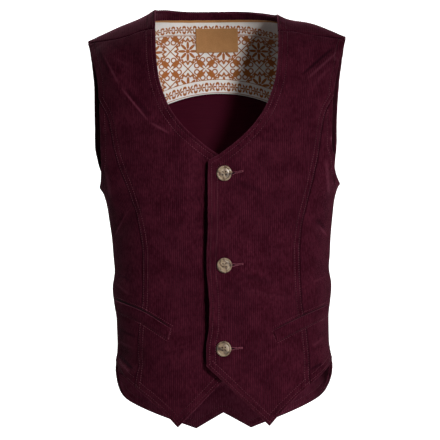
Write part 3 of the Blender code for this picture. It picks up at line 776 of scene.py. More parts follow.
def corduroyMaterial(name, paintedShade, rib, worn, paintedHighlight):
    material, start, shader = newMaterial(name, Sheen_Weight=0.30, Sheen_Roughness=0.36,
                                          Sheen_Tint=(0.50, 0.15, 0.23, 1), Specular_IOR_Level=0.02)
    flat, across, up = clothMap(start)
    # edges: painted shade over seams and lighter nap on turned edges, partly wear and partly painted sheen
    edges = start.add("ShaderNodeAttribute", {"attribute_name": "edges"}, give=2)
    patchy = start.noise(start.vector(across * 130, up * 130), 1.0, 2, 0.5)
    # painted light: painted highlight and shade along the creases, plus the painted seam shade and edge light
    # of the edges attribute
    paintedLight = paintedCreaseLight(start) + edges * (patchy + 0.4)
    phase = (across / (corduroy["wale"] * mm)).math("FRACT")
    top = 1 - abs(phase * 2 - 1)
    pile = start.noise(start.vector(across * 1900, up * 700), 1.0, 3, 0.6)
    mottle = start.noise(start.vector(across * 330, up * 150), 1.0, 3, 0.62)
    cloud = start.noise(flat, 42.0, 4, 0.6)
    brushed = start.noise(start.vector(across * 20, up * 9), 1.0, 2, 0.5)
    # tone: random pile, mottle and cloud, nudged lighter or darker by the painted crease light
    tone = (pile - 0.5) * 0.6 + (mottle - 0.5) * 2.6 + (cloud - 0.5) * 1.8 + paintedLight * 0.35
    nap = tone.soft(-0.45, 0.50).mixed(rib, worn)
    broken = mottle.soft(0.40, 0.62) * 0.75 + 0.25
    # groove: painted shade in the wale grooves, weaker where brushed and broken by mottle
    groove = (1 - top.soft(0.06, 0.62)) * (brushed.soft(0.36, 0.62) * 0.75 + 0.25) * broken
    # painted highlight on crease crests and edges, then painted shade in folds and over seams
    colour = (paintedLight * (mottle + 0.4)).soft(0.18, 1.35).mixed(groove.mixed(nap, paintedShade), paintedHighlight)
    colour = (paintedLight * -0.8).soft(0.05, 1.0).mixed(colour, paintedShade)
    plug(start, shader, Base_Color=colour, Roughness=0.94 - top * 0.08 + (pile - 0.5) * 0.1,
         Normal=bumped(start, pile + mottle * 0.6, 0.4, 0.0005))
    return material


def threadMaterial(name, dark, light):
    material, start, shader = newMaterial(name, Specular_IOR_Level=0.04)
    spot = start.spot()
    ply = start.noise(spot, 2600.0, 1, 0.5)
    cloud = start.noise(spot, 26.0, 2, 0.5)
    plug(start, shader, Base_Color=(ply * 0.35 + cloud * 0.65).soft(0.36, 0.59).mixed(dark, light),
         Roughness=0.62 + (ply - 0.5) * 0.2, Normal=bumped(start, ply, 0.4, 0.0002))
    return material


def weave(across, up, threads):  # plain weave, over and under, from 0 to 1
    over = (across * threads).math("SINE") * (up * threads).math("SINE")
    return over * 0.5 + 0.5


def liningMaterial(name):
    material, start, shader = newMaterial(name, Specular_IOR_Level=0.02)
    _, across, up = clothMap(start)
    woven = weave(across, up, 2 * math.pi / 0.0011)
    slub = start.noise(start.vector(across * 24, up * 420), 1.0, 2, 0.5)
    tone = (slub * 0.6 + woven * 0.4).soft(0.2, 0.8)
    colour = tone.mixed((0.024, 0.0010, 0.0050, 1), (0.040, 0.0028, 0.0095, 1))
    plug(start, shader, Base_Color=colour, Roughness=0.62 + (slub - 0.5) * 0.16,
         Normal=bumped(start, woven + slub * 0.6, 0.25, 0.0002))
    return material


# where the print's borders lie up the back, in metres; the lower one follows the arch of the yoke
printLayout = {
    "top": -0.0225, "low": 0.021, "foot": 0.111, "arch": 2.5, "tile": 0.054, "shift": 0.32, "rise": 0.36,
    "pitch": 0.0165, "upperMiddle": 0.0098, "apart": 0.0016, "margin": 0.002,
}


def printMaterial(name):  # a patchwork of borders, rosettes and leaf sprays in rust on cream
    material, start, shader = newMaterial(name, Sheen_Weight=0.1, Specular_IOR_Level=0.25)
    flat, across, up = clothMap(start)

    def cell(value, size, shift=0.0):  # place in a repeat, from -0.5 to 0.5
        return ((value / size + shift).math("FLOORED_MODULO", 1.0)) - 0.5

    def far(x, y):
        return (x * x + y * y).math("SQRT")

    def ring(distance, radius, half):  # 1 on a line round a centre
        return 1 - abs(distance - radius).soft(half * 0.6, half * 1.4)

    def petals(x, y, count, inner, outer, turn=0.0):
        angle = y.math("ARCTAN2", x)
        wave = ((angle + turn) * count).math("COSINE") * 0.5 + 0.5
        edge = wave * (outer - inner) + inner
        return (edge - far(x, y)).soft(-0.012, 0.012)

    def sharp(value):  # 1 where the value is over 0
        return value.soft(-0.0002, 0.0002)

    def line(value, at, half=0.0004):
        return 1 - abs(value - at).soft(half * 0.6, half * 1.5)

    def strip(along, beyond, pitch):  # small rosettes and leaves between two lines
        x, y = cell(along, pitch), beyond / pitch
        flower = petals(x, y, 6, 0.15, 0.41) * (1 - petals(x, y, 6, 0.05, 0.15))
        heart = (0.085 - far(x, y)).soft(-0.012, 0.012)
        between = cell(along, pitch, 0.5)
        leaf = petals(between, y, 2, 0.05, 0.42, math.pi / 2)
        leaf = leaf * (1 - petals(between, y, 2, 0.01, 0.2, math.pi / 2))
        return flower.most(heart, leaf)

    def medallion(x, y):  # a square on its point, a rosette in it and sprays in the corners
        distance = far(x, y)
        star = petals(x, y, 8, 0.10, 0.285) * (1 - petals(x, y, 8, 0.03, 0.11, math.pi / 8))
        outer = petals(x, y, 16, 0.320, 0.395) * (1 - petals(x, y, 16, 0.265, 0.305))
        heart = (0.055 - distance).soft(-0.01, 0.01)
        border = 1 - abs(abs(x) + abs(y) - 0.5).soft(0.013, 0.027)
        cornerX, cornerY = 0.5 - abs(x), 0.5 - abs(y)
        leaf = petals(cornerX, cornerY, 4, 0.07, 0.34, math.pi / 4)
        spray = leaf * (1 - petals(cornerX, cornerY, 4, 0.01, 0.12, math.pi / 4))
        curl = ring(far(cornerX - 0.25, cornerY - 0.09), 0.065, 0.018)
        otherCurl = ring(far(cornerX - 0.09, cornerY - 0.25), 0.065, 0.018)
        return star.most(outer, heart, border, spray, curl, otherCurl)

    top, low, tile, pitch, apart = (printLayout[key] for key in ("top", "low", "tile", "pitch", "apart"))
    beyond = up + printLayout["foot"] + across * across * printLayout["arch"]
    field = medallion(cell(across, tile, printLayout["shift"]), cell(up, tile, printLayout["rise"]))
    inField = sharp(beyond - low) * sharp(top - up)
    upper = strip(across, up - top - printLayout["upperMiddle"], pitch) * sharp(up - top - apart)
    margin = printLayout["margin"]
    lower = strip(across, beyond - low * 0.5, pitch) * sharp(beyond - margin) * sharp(low - margin - beyond)
    lines = line(up, top).most(line(up, top + apart), line(beyond, low), line(beyond, apart))
    ink = (field * inField).most(upper, lower, lines)
    woven = weave(across, up, 2 * math.pi / 0.0012)
    fade = start.noise(flat, 900.0, 3, 0.6)
    cloud = start.noise(flat, 40.0, 2, 0.5)
    ground = (woven * 0.5 + cloud * 0.5).soft(0.2, 0.8)
    ground = ground.mixed((0.60, 0.57, 0.545, 1), (0.77, 0.745, 0.72, 1))
    rust = fade.soft(0.25, 0.7).mixed((0.21, 0.056, 0.009, 1), (0.40, 0.130, 0.026, 1))
    inked = (ink * (fade * 0.4 + 0.85)).soft(0.0, 1.0)
    plug(start, shader, Base_Color=inked.mixed(ground, rust), Roughness=0.8 + (woven - 0.5) * 0.1,
         Normal=bumped(start, woven, 0.3, 0.0002))
    return material


def tapeMaterial(name, dark, light, rough):
    material, start, shader = newMaterial(name, Sheen_Weight=0.1, Specular_IOR_Level=0.3)
    flat, across, up = clothMap(start)
    twill = ((across + up) * (2 * math.pi / 0.0013)).math("SINE") * 0.5 + 0.5
    grain = start.noise(flat, 1500.0, 3, 0.6)
    cloud = start.noise(flat, 70.0, 3, 0.6)
    colour = (twill * 0.25 + grain * 0.4 + cloud * 0.35).soft(0.25, 0.75).mixed(dark, light)
    plug(start, shader, Base_Color=colour, Roughness=rough + (grain - 0.5) * 0.2,
         Normal=bumped(start, twill * 0.5 + grain, 0.3, 0.0002))
    return material


def hornMaterial(name):
    material, start, shader = newMaterial(name, Coat_Weight=0.08, Coat_Roughness=0.3, Specular_IOR_Level=0.35)
    spot = start.spot()
    smoke = start.noise(spot, 110.0, 4, 0.6)
    streak = start.add("ShaderNodeTexWave", {"wave_type": "BANDS", "bands_direction": "DIAGONAL"},
                       {"Vector": spot, "Scale": 42.0, "Distortion": 14.0, "Detail": 3.0}, give=1)
    fleck = start.noise(spot, 900.0, 2, 0.5)
    tone = smoke * 0.72 + streak * 0.28
    colour = tone.add("ShaderNodeValToRGB", {"stops": [
        (0.30, (0.028, 0.018, 0.013)), (0.42, (0.100, 0.062, 0.036)), (0.52, (0.178, 0.122, 0.074)),
        (0.70, (0.240, 0.180, 0.120))]}, {0: tone})
    plug(start, shader, Base_Color=colour, Roughness=0.34 + (fleck - 0.5) * 0.2,
         Normal=bumped(start, fleck, 0.08, 0.0002))
    return material


# near-black fuzz for dark sheets of painted shade: pocket mouths, welt seams, buttonhole slits and stitch
# pricks
def paintedShadeMaterial(name):
    material, start, shader = newMaterial(name, Specular_IOR_Level=0.1)
    spot = start.spot()
    fuzz = start.noise(spot, 1800.0, 2, 0.5)
    plug(start, shader, Base_Color=fuzz.mixed((0.004, 0.0008, 0.0014, 1), (0.014, 0.003, 0.005, 1)),
         Roughness=0.9 + (fuzz - 0.5) * 0.1)
    return material


# painted groove shade, rib, worn nap and painted crease highlight of each corduroy; the groove shade also
# darkens folds and seams
materials = {
    "corduroy": corduroyMaterial(
        "corduroy", (0.0072, 0.0008, 0.0027, 1), (0.0185, 0.0014, 0.0044, 1),
        (0.0450, 0.0060, 0.0130, 1), (0.0880, 0.0190, 0.0330, 1)),
    # a lighter copy of the corduroy, painted light for the hem facing, which lies in the fronts' shadow
    "facing": corduroyMaterial(
        "facing corduroy painted lighter", (0.0160, 0.0022, 0.0066, 1), (0.0470, 0.0052, 0.0138, 1),
        (0.0960, 0.0170, 0.0330, 1), (0.1500, 0.0360, 0.0600, 1)),
    "lining": liningMaterial("lining"),
    "print": printMaterial("print"),
    "tape": tapeMaterial("tape", (0.25, 0.095, 0.022, 1), (0.46, 0.20, 0.060, 1), 0.75),
    "patch": tapeMaterial("patch", (0.25, 0.110, 0.036, 1), (0.46, 0.225, 0.082, 1), 0.7),
    "horn": hornMaterial("horn"),
    "paintedShadeSheet": paintedShadeMaterial("paintedShadeSheet"),
    "thread": threadMaterial("thread", (0.032, 0.0036, 0.0090, 1), (0.150, 0.0400, 0.0600, 1)),
    "purl": threadMaterial("purl", (0.085, 0.0160, 0.0290, 1), (0.200, 0.0560, 0.0800, 1)),
    "tan thread": threadMaterial("tan thread", (0.120, 0.078, 0.050, 1), (0.230, 0.165, 0.115, 1)),
}
print("materials made:", len(materials))

# the five panels of the shell
columnStep = corduroy["wale"] / corduroy["columns"]
panels = {
    "front_left": frontPanel(1), "front_right": frontPanel(-1),
    "side_front_left": sidePanel(1), "side_front_right": sidePanel(-1),
}
for name, panel in panels.items():
    polygon = polygonOf(panel["lines"])
    cloth = thicken(cutCloth(polygon, panel["bands"], panel["step"], columnStep))
    piece = wornPiece(name + "_cloth", cloth, materials["corduroy"], name, panelPlace(panel))
    areaOf(polygon) * mm * mm


def both(half):  # a half outline from the centre line round to the centre line, and its mirror image
    return np.concatenate([half, half[::-1] * [-1, 1]])


def backCloth(panel):  # the body up to the shoulders' ridge, and a strap over each shoulder
    half, top = panel["half"], panel["ridge"]
    body = polygonOf({"hem": half["hem"], "side": half["side"], "armhole": half["armhole"][:-1],
                      "ridge": top, "neck": half["neck"]})
    cloth = cutCloth(both(body), panel["bands"], panel["step"], columnStep)
    for side in (1, -1):
        strap = np.concatenate([top[::-1], half["shoulder"]]) * [side, 1]
        strip = cutCloth(strap, wholeBand, cut["strapRowStep"], columnStep)
        mesh = bpy.data.meshes.new("strap")
        strip.to_mesh(mesh)
        strip.free()
        cloth.from_mesh(mesh)
        bpy.data.meshes.remove(mesh)
    bmesh.ops.remove_doubles(cloth, verts=cloth.verts, dist=0.02)
    return cloth


backCut = backPanel()
cloth = thicken(backCloth(backCut))
wholeBack = both(polygonOf(backCut["half"]))
backCut["lines"] = {}
for lineName, line in backCut["half"].items():
    backCut["lines"][lineName] = line
    backCut["lines"][lineName + "Right"] = line * [-1, 1]
    if lineName in backCut["finish"]:
        backCut["finish"][lineName + "Right"] = backCut["finish"][lineName]
piece = wornPiece("back_cloth", cloth, materials["corduroy"], "back", panelPlace(backCut))
areaOf(wholeBack) * mm * mm

# sewing thread: small rounded stitches laid along rows on the worn cloth
sewing = {"pitch": 3.3, "half": 1.08, "wide": 0.40, "high": 0.42, "lie": -0.06, "clear": 2.0,
          "drift": 0.6, "slant": 0.05, "longest": 1.35, "prick": 0.6, "prickHigh": 0.3, "prickReach": 1.1}


def insetLine(line, distance):  # a flat line moved into the panel, on the left of its run
    run = np.gradient(line, axis=0)
    run /= np.maximum(np.linalg.norm(run, axis=1), 1e-9)[:, None]
    return line + distance * np.stack([-run[:, 1], run[:, 0]], 1)


def alongLine(line, pitch):  # even spots down a flat line, and the way it runs there
    lengths = lengthsAlong(line)
    spots = np.arange(pitch / 2, lengths[-1], pitch)
    at = np.stack([np.interp(spots, lengths, line[:, i]) for i in (0, 1)], 1)
    ahead = np.stack([np.interp(spots + 0.5, lengths, line[:, i]) for i in (0, 1)], 1)
    behind = np.stack([np.interp(spots - 0.5, lengths, line[:, i]) for i in (0, 1)], 1)
    run = ahead - behind
    return at, run / np.maximum(np.linalg.norm(run, axis=1), 1e-9)[:, None]


def rowStitches(lines, name, distance):  # flat starts and ends of a row's stitches
    at, run = alongLine(insetLine(lines[name], distance), sewing["pitch"])
    polygon = polygonOf(lines)
    keep = insideOf(at, polygon)
    for other, line in lines.items():
        clear = distance - sewing["drift"] if other == name else sewing["clear"]
        keep &= distanceTo(at, line) > clear
    at, run = at[keep], run[keep]
    slant = np.array([dice.uniform(-sewing["slant"], sewing["slant"]) for _ in at])[:, None]
    across = np.stack([-run[:, 1], run[:, 0]], 1)
    return at - sewing["half"] * (run + slant * across), at + sewing["half"] * (run + slant * across)


def beads(name, material, shapes):  # one mesh of small rounded shapes
    made = bmesh.new()
    for middle, run, side, up in shapes:
        columns = Matrix((run, side, up)).transposed().to_4x4()
        place = Matrix.Translation(middle) @ columns
        bmesh.ops.create_icosphere(made, subdivisions=1, radius=1.0, matrix=Matrix.Scale(mm, 4) @ place)
    mesh = bpy.data.meshes.new(name)
    made.to_mesh(mesh)
    made.free()
    newPiece(name, mesh, materials[material])


def sewRows(name, starts, ends, normals, wide=sewing["wide"], high=sewing["high"], pricked=False,
            longest=sewing["longest"], thread="thread"):  # stitches between worn points
    stitches, pricks = [], []
    for start, end, normal in zip(starts, ends, normals):
        run = Vector(end) - Vector(start)
        half = run.length / 2
        if half > longest:
            continue
        run.normalize()
        side = Vector(normal).cross(run).normalized()
        up = run.cross(side)
        middle = (Vector(start) + Vector(end)) / 2
        stitches.append((middle, run * half, side * wide, up * high))
        # pricks: small dark beads of painted shade where the thread dimples the pile between stitches
        if pricked:
            gap = sewing["pitch"] / 2 - half
            pricks.append((middle + run * (half + gap), run * gap * sewing["prickReach"],
                           side * sewing["prick"], up * sewing["prickHigh"]))
    if pricked:
        beads(name + "_pricks", "paintedShadeSheet", pricks)
    beads(name, thread, stitches)


def sewFlat(name, starts, ends, where, inward=False, **look):  # stitches between flat points
    wornStarts, normals = wear(np.concatenate(starts), *where)
    wornEnds, _ = wear(np.concatenate(ends), *where)
    sewRows(name, wornStarts, wornEnds, -normals if inward else normals, **look)
    print(name, len(wornStarts), "stitches")


def sewPanel(name, panel):
    starts, ends = [], []
    for lineName, finish in panel["finish"].items():
        for row in finish.get("rows", ()):
            start, end = rowStitches(panel["lines"], lineName, row)
            starts.append(start)
            ends.append(end)
    where = (panel["face"], panel["side"], panel["grain"], sewing["lie"], panel["laps"])
    sewFlat(name, starts, ends, where, pricked=True)


for name, panel in panels.items():
    sewPanel(name + "_stitches", panel)
halfFinish = {key: value for key, value in backCut["finish"].items() if key in backCut["half"]}
for name, side in (("back_stitches_left", 1), ("back_stitches_right", -1)):
    sewPanel(name, dict(backCut, lines=backCut["half"], finish=halfFinish, side=side))

# what shows inside the back, each piece cut flat and worn on the inner layers
inside = {
    "layer": -4.1, "thick": 1.0, "bandReach": 100.0, "bandEdge": 1.0,
    # across, drop of the tape from the wearer's right to the left
    "tapeLine": [(-100, 10.4), (-84, 8.9), (-70, 6.7), (-50, 3.9), (-25, 2.6), (0, 2.6), (25, 2.7),
                 (50, 2.5), (70, 2.4), (84, 3.7), (100, 8.6)],
    "tapeWidth": 3.6, "tapeLayer": -5.5, "tapeThick": 0.8,
    "yokeDrop": 111.0, "yokeFall": 15.0, "yokeFallAt": 75.0, "liningMargin": 0.10, "facingMargin": 0.02,
    "facingHeight": 60.0, "patchHalf": 32.5, "patchTop": 13.0, "patchBottom": 49.0, "patchLayer": -5.6,
    "patchThick": 1.2, "gap": 1.2, "facingRows": (3.0, 9.8), "facingEdge": 1.0,
    "yokeTop": 46.0, "edgeRoll": 1.5, "edgeThin": 0.4, "ribShare": 0.8, "bandRoll": 1.5, "bandRollReach": 4.0,
    "tapeAbove": 0.4, "liningSink": 0.2, "liningThick": 0.7, "stitchLie": 0.1,
    # first guesses for drops that are then settled
    "yokeGuess": 130.0, "hemGuess": 560.0, "facingTopAt": 500.0, "settleShare": 0.4, "settleSteps": 30,
    # across and up lengths of the lining's soft waves, in millimetres to a radian
    "waves": {"across": 31, "up": 83, "bend": 57, "bendShare": 0.6, "high": 0.7, "level": -0.2},
}


def backEdgeTurn(drop):
    drop = np.asarray(drop, float)
    shown = np.maximum(drop, cut["armhole"][0][0])
    hole = np.arcsin(np.clip(armholes["back"](shown) / halfWidth(shown), -1, 1))
    return np.where(drop >= cut["underarm"], math.pi / 2, hole)


def atTurn(turn, drop):
    return halfWidth(drop) * np.sin(turn)


def yokeBottom(across):
    return inside["yokeDrop"] + inside["yokeFall"] * (across / inside["yokeFallAt"]) ** 2


def settled(turnFor, level, drop):  # where an edge that runs down the form meets a level line
    for _ in range(inside["settleSteps"]):
        drop = drop + inside["settleShare"] * (level(atTurn(turnFor(drop), drop)) - drop)
    return drop


def marginTurn(drop):
    return backEdgeTurn(drop) - inside["liningMargin"]


def yokeSide():  # the drop at which the yoke's lower edge meets its side
    return float(settled(marginTurn, yokeBottom, inside["yokeGuess"]))


def hemAt(turn):
    return settled(lambda drop: turn, backHem, np.full(len(turn), inside["hemGuess"]))


tapeLine = curve(inside["tapeLine"])


def tapeFlat(across):  # the middle of the tape, and past its ends a line along the shoulder
    within = np.clip(across, -inside["bandReach"], inside["bandReach"])
    fall = ridgeDrop(np.abs(across)) - ridgeDrop(np.abs(within))
    return flatOf(across, tapeLine(within) + fall, "back")


def bandCut():
    across = lineBetween(-inside["bandReach"], inside["bandReach"], 120)
    out = np.abs(across)
    edgeDrop = np.where(out < cut["neckPoint"], backNeck(out), ridgeDrop(out))
    top = flatOf(across, edgeDrop, "back") - [0, inside["bandEdge"]]
    return np.concatenate([tapeFlat(across), top[::-1]]), tapeFlat(across), top


def yokeCut():
    sideDrop, yokeTop = yokeSide(), inside["yokeTop"]
    sideAcross = float(atTurn(marginTurn(sideDrop), sideDrop))
    across = lineBetween(-sideAcross, sideAcross, 120)
    low = flatOf(across, yokeBottom(across), "back")
    drops = lineBetween(sideDrop, yokeTop, 40)
    side = flatOf(atTurn(marginTurn(drops), drops), drops, "back")
    topAcross = lineBetween(1, -1, 160) * float(atTurn(marginTurn(yokeTop), yokeTop))
    top = tapeFlat(topAcross) - [0, inside["gap"]]
    top = top[np.abs(top[:, 0]) < side[-1, 0] - 1]
    return np.concatenate([low, side[1:], top, side[:0:-1] * [-1, 1]]), low


def liningCut():
    turns = lineBetween(0, float(marginTurn(inside["facingTopAt"])), 90)
    hem = hemAt(turns) - inside["facingHeight"] - 3 * inside["gap"]
    low = flatOf(atTurn(turns, hem), hem, "back")
    topDrop = yokeSide() + inside["gap"]
    drops = lineBetween(float(hem[-1]), topDrop, 120)
    side = flatOf(atTurn(marginTurn(drops), drops), drops, "back")
    across = lineBetween(float(atTurn(marginTurn(topDrop), topDrop)), 0, 60)
    top = flatOf(across, yokeBottom(across) + inside["gap"], "back")
    return np.concatenate([low, side[1:], top[1:]])


def facingCut():
    turns = lineBetween(-1, 1, 220) * (math.pi / 2 - inside["facingMargin"])
    hem = hemAt(turns)
    low = flatOf(atTurn(turns, hem), hem, "back") + [0, inside["facingEdge"]]
    top = (low + [0, inside["facingHeight"] - inside["facingEdge"]])[::-1]
    ends = lineBetween(0, 1, 12)[:, None]
    return {"low": low, "end": low[-1] + ends * (top[0] - low[-1]), "top": top,
            "start": top[-1] + ends * (low[0] - top[-1])}


def innerPlace(layer, thick, ribs=False, bend=None, edges=()):
    def place(flat, wrongSide):
        outer = np.full(len(flat), layer)
        inner = outer - thick
        if ribs:
            inner = inner - waleHeight(flat[:, 0]) * inside["ribShare"]
        for line in edges:
            near = 1 - np.clip(distanceTo(flat, line) / inside["edgeRoll"], 0, 1)
            inner = inner + inside["edgeThin"] * thick * near ** 2
        if bend:
            shift = bend(flat)
            outer, inner = outer + shift, inner + shift
        worn, _ = wear(flat, "back", 1, "centre", np.where(wrongSide, inner, outer))
        return worn, 1
    return place


def innerPiece(name, polygon, material, place, step, columns, bands=wholeBand, strip=None):
    cloth = thicken(cutCloth(polygon, bands, step, columns))
    piece = wornPiece(name + "_cloth", cloth, materials[material], name, place)
    if strip and strip[1] < 10:  # a ribbon, sewn to other cloth: returned here as it is
        return piece
    size = (lengthsAlong(strip[0])[-1], strip[1]) if strip else np.ptp(polygon, axis=0)
    size[0] * mm
    size[1] * mm
    None if strip else areaOf(polygon) * mm * mm
    return piece


def wrinkles(flat):
    waves = inside["waves"]
    across = flat[:, 0] / waves["across"] + waves["bendShare"] * np.sin(flat[:, 1] / waves["bend"])
    return waves["high"] * np.sin(across) * np.sin(flat[:, 1] / waves["up"] + 1.0) + waves["level"]


band, bandLow, bandTop = bandCut()
yoke, yokeLow = yokeCut()
layer, thick, tapeWidth = inside["layer"], inside["thick"], inside["tapeWidth"]


def bandRoll(flat):  # the band turns over into the neck's edge
    near = np.clip(1 - distanceTo(flat, bandTop) / inside["bandRollReach"], 0, 1)
    return inside["bandRoll"] * near ** 2


tapeTop = bandLow + [0, inside["tapeAbove"] * tapeWidth]
tape = np.concatenate([tapeTop - [0, tapeWidth], tapeTop[::-1]])
tapePlace = innerPlace(inside["tapeLayer"], inside["tapeThick"])
ribbon = innerPiece("neck_tape", tape, "tape", tapePlace, 1.0, 2.0, strip=(bandLow, tapeWidth))
innerPiece("neck_band", band, "corduroy",
           innerPlace(layer, thick, True, bandRoll), 2.5, columnStep)
innerPiece("yoke_lining", yoke, "print", innerPlace(layer, thick, edges=[yokeLow]), 3.0, 3.0)
innerPiece("back_lining", both(liningCut()), "lining",
           innerPlace(layer - inside["liningSink"], inside["liningThick"], bend=wrinkles), 5.0, 4.0,
           bandsOf("back"))
facing = facingCut()
# the hem facing wears the corduroy copy painted lighter for its place in the fronts' shadow
innerPiece("hem_facing", polygonOf(facing), "facing",
           innerPlace(layer, thick, True), 4.0, columnStep, strip=(facing["low"], inside["facingHeight"]))
starts, ends = zip(*(rowStitches(facing, "low", row) for row in inside["facingRows"]))
innerLie = layer - thick - inside["stitchLie"]
sewFlat("hem_facing_stitches", starts, ends, ("back", 1, "centre", innerLie), inward=True, pricked=True)
patchAcross = lineBetween(-inside["patchHalf"], inside["patchHalf"], 40)
patchLow = flatOf(patchAcross, inside["patchBottom"], "back")
patchTop = flatOf(patchAcross, inside["patchTop"], "back")
patch = np.concatenate([patchLow, patchTop[::-1]])
patchEdge = np.concatenate([patch, patch[:1]])
innerPiece("neck_patch", patch, "patch",
           innerPlace(inside["patchLayer"], inside["patchThick"], edges=[patchEdge]), 1.6, 1.6)

# slanted pocket welts: the lower edge is sewn down and the upper one stands free
welt = {
    "width": 16.5, "slant": math.radians(20), "outerTurn": math.radians(75), "cloth": 2.0,
    "rowStep": 2.2,
    "stand": 2.8, "sewnStand": 1.7, "standFrom": 0.5, "dentAt": 2.6, "dent": 0.4, "dentWidth": 1.0,
    "sewn": {"top": 4.4, "inner": 0.9, "low": 1.9}, "pitch": {"inner": 2.3},
    # half widths of the painted shade over the mouth and under the seam, at both ends
    "mouth": {1: (0.8, 0.5), -1: (1.5, 0.8)}, "seam": (0.4, 0.4), "shadeLie": 0.34,
    # across, drop of the upper edge
    "top": {1: [(70.3, 455.3), (112, 436.5), (154, 421.5)],
            -1: [(70.8, 449.8), (113.4, 424.5), (154, 410)]},
}


def weltCut(side):
    weltTop = curve(welt["top"][side])
    across, drop = welt["top"][side][0]
    turns = lineBetween(math.asin(across / float(halfWidth(drop))), welt["outerTurn"], 80)
    drop = np.full(len(turns), welt["top"][side][1][1])
    for _ in range(12):
        drop = weltTop(atTurn(turns, drop))
    top = flatOf(atTurn(turns, drop), drop, "front")
    down = welt["width"] * np.array([math.sin(welt["slant"]), -math.cos(welt["slant"])])
    low = top + down
    ends = lineBetween(0, 1, 12)[:, None]
    return {"low": low, "outer": low[-1] + ends * (top[-1] - low[-1]), "top": top[::-1],
            "inner": top[0] + ends * (low[0] - top[0])}


def weltPlace(lines, side):
    def place(flat, wrongSide):
        up = np.clip(distanceTo(flat, lines["low"]) / welt["width"], 0, 1)
        rise = smoothStep(0, welt["standFrom"], up)
        stand = welt["sewnStand"] + (welt["stand"] - welt["sewnStand"]) * rise
        lift = stand + waleHeight(flat[:, 0])
        for name, line in lines.items():
            away = distanceTo(flat, line)
            near = 1 - np.clip(away / corduroy["edgeRoll"], 0, 1)
            lift -= corduroy["edgeFall"] * (1 - np.sqrt(1 - near ** 2))
            if name != "top":
                lift -= welt["dent"] * np.exp(-((away - welt["dentAt"]) / welt["dentWidth"]) ** 2)
        height = np.where(wrongSide, stand - welt["cloth"], lift)
        worn, _ = wear(flat, "front", side, "centre", height)
        return worn, side
    return place


def darkStrip(name, steps, spotAt, where):  # a narrow dark sheet of painted shade over a gap; spotAt gives its flat spots
    gap = bmesh.new()
    grid = bmesh.ops.create_grid(gap, x_segments=steps, y_segments=2, size=0.5)
    for vertex in grid["verts"]:
        vertex.co = (*spotAt(vertex.co.x + 0.5, 2 * vertex.co.y), 0)
    wornPiece(name, gap, materials["paintedShadeSheet"], None,
              lambda flat, wrong: (wear(flat, *where)[0], where[1]))


def weltShade(name, line, halves, side):  # a dark sheet of painted shade beside a welt's edge, its half width at each end
    line = insetLine(line, -halves[0])
    lengths = lengthsAlong(line)

    def spotAt(share, way):
        at = [np.interp(share * lengths[-1], lengths, line[:, i]) for i in (0, 1)]
        half = (halves[0] + (halves[1] - halves[0]) * share) * (1 - abs(2 * share - 1) ** 8)
        return at[0], at[1] + way * half

    darkStrip(name, 60, spotAt, ("front", side, "centre", welt["shadeLie"]))


for name, side in (("welt_left", 1), ("welt_right", -1)):
    weltLines = weltCut(side)
    cloth = thicken(cutCloth(polygonOf(weltLines), wholeBand, welt["rowStep"], columnStep))
    place = weltPlace(weltLines, side)
    piece = wornPiece(name + "_cloth", cloth, materials["corduroy"], name, place)
    along = weltLines["low"][-1] - weltLines["low"][0]
    "front" + name[4:] + "_cloth"
    starts, ends = [], []
    for lineName, away in welt["sewn"].items():
        pitch = welt["pitch"].get(lineName, sewing["pitch"])
        at, run = alongLine(insetLine(weltLines[lineName], -away), pitch)
        starts.append(at - sewing["half"] * run)
        ends.append(at + sewing["half"] * run)
    sewFlat(name + "_stitches", starts, ends, ("front", side, "centre", sewing["lie"]))
    # dark sheets of painted shade over the pocket's mouth and along the welt's sewn lower edge
    weltShade(name + "_mouth", weltLines["top"], welt["mouth"][side], side)
    weltShade(name + "_seam", weltLines["low"], welt["seam"], side)

# horn buttons, sewn through four holes
buttons = {
    "spots": [(7, 235.5), (5, 362.5), (2, 478.5)], "radius": 10.5, "steps": 64, "stand": 1.4,
    "hole": 1.1, "holePitch": 2.1, "holeSides": 16, "drill": 8.0, "drillAt": 1.5, "sharp": math.radians(40),
    # share of the radius, height
    "profile": [(0, 0), (0.78, 0), (0.92, 0.35), (0.985, 1.0), (1.0, 1.9), (0.985, 2.7), (0.95, 3.25),
                (0.90, 3.5), (0.83, 3.5), (0.78, 3.2), (0.73, 2.3), (0.69, 2.05), (0.63, 2.25), (0.5, 2.35),
                (0.3, 2.3), (0, 2.25)],
    "threadWide": 0.34, "threadHigh": 0.40, "threadAt": 2.45, "threadApart": 0.35, "longest": 4.0,
    "threadLift": (0.15, 0.40),  # of the lower pair of stitches and the one across it
}


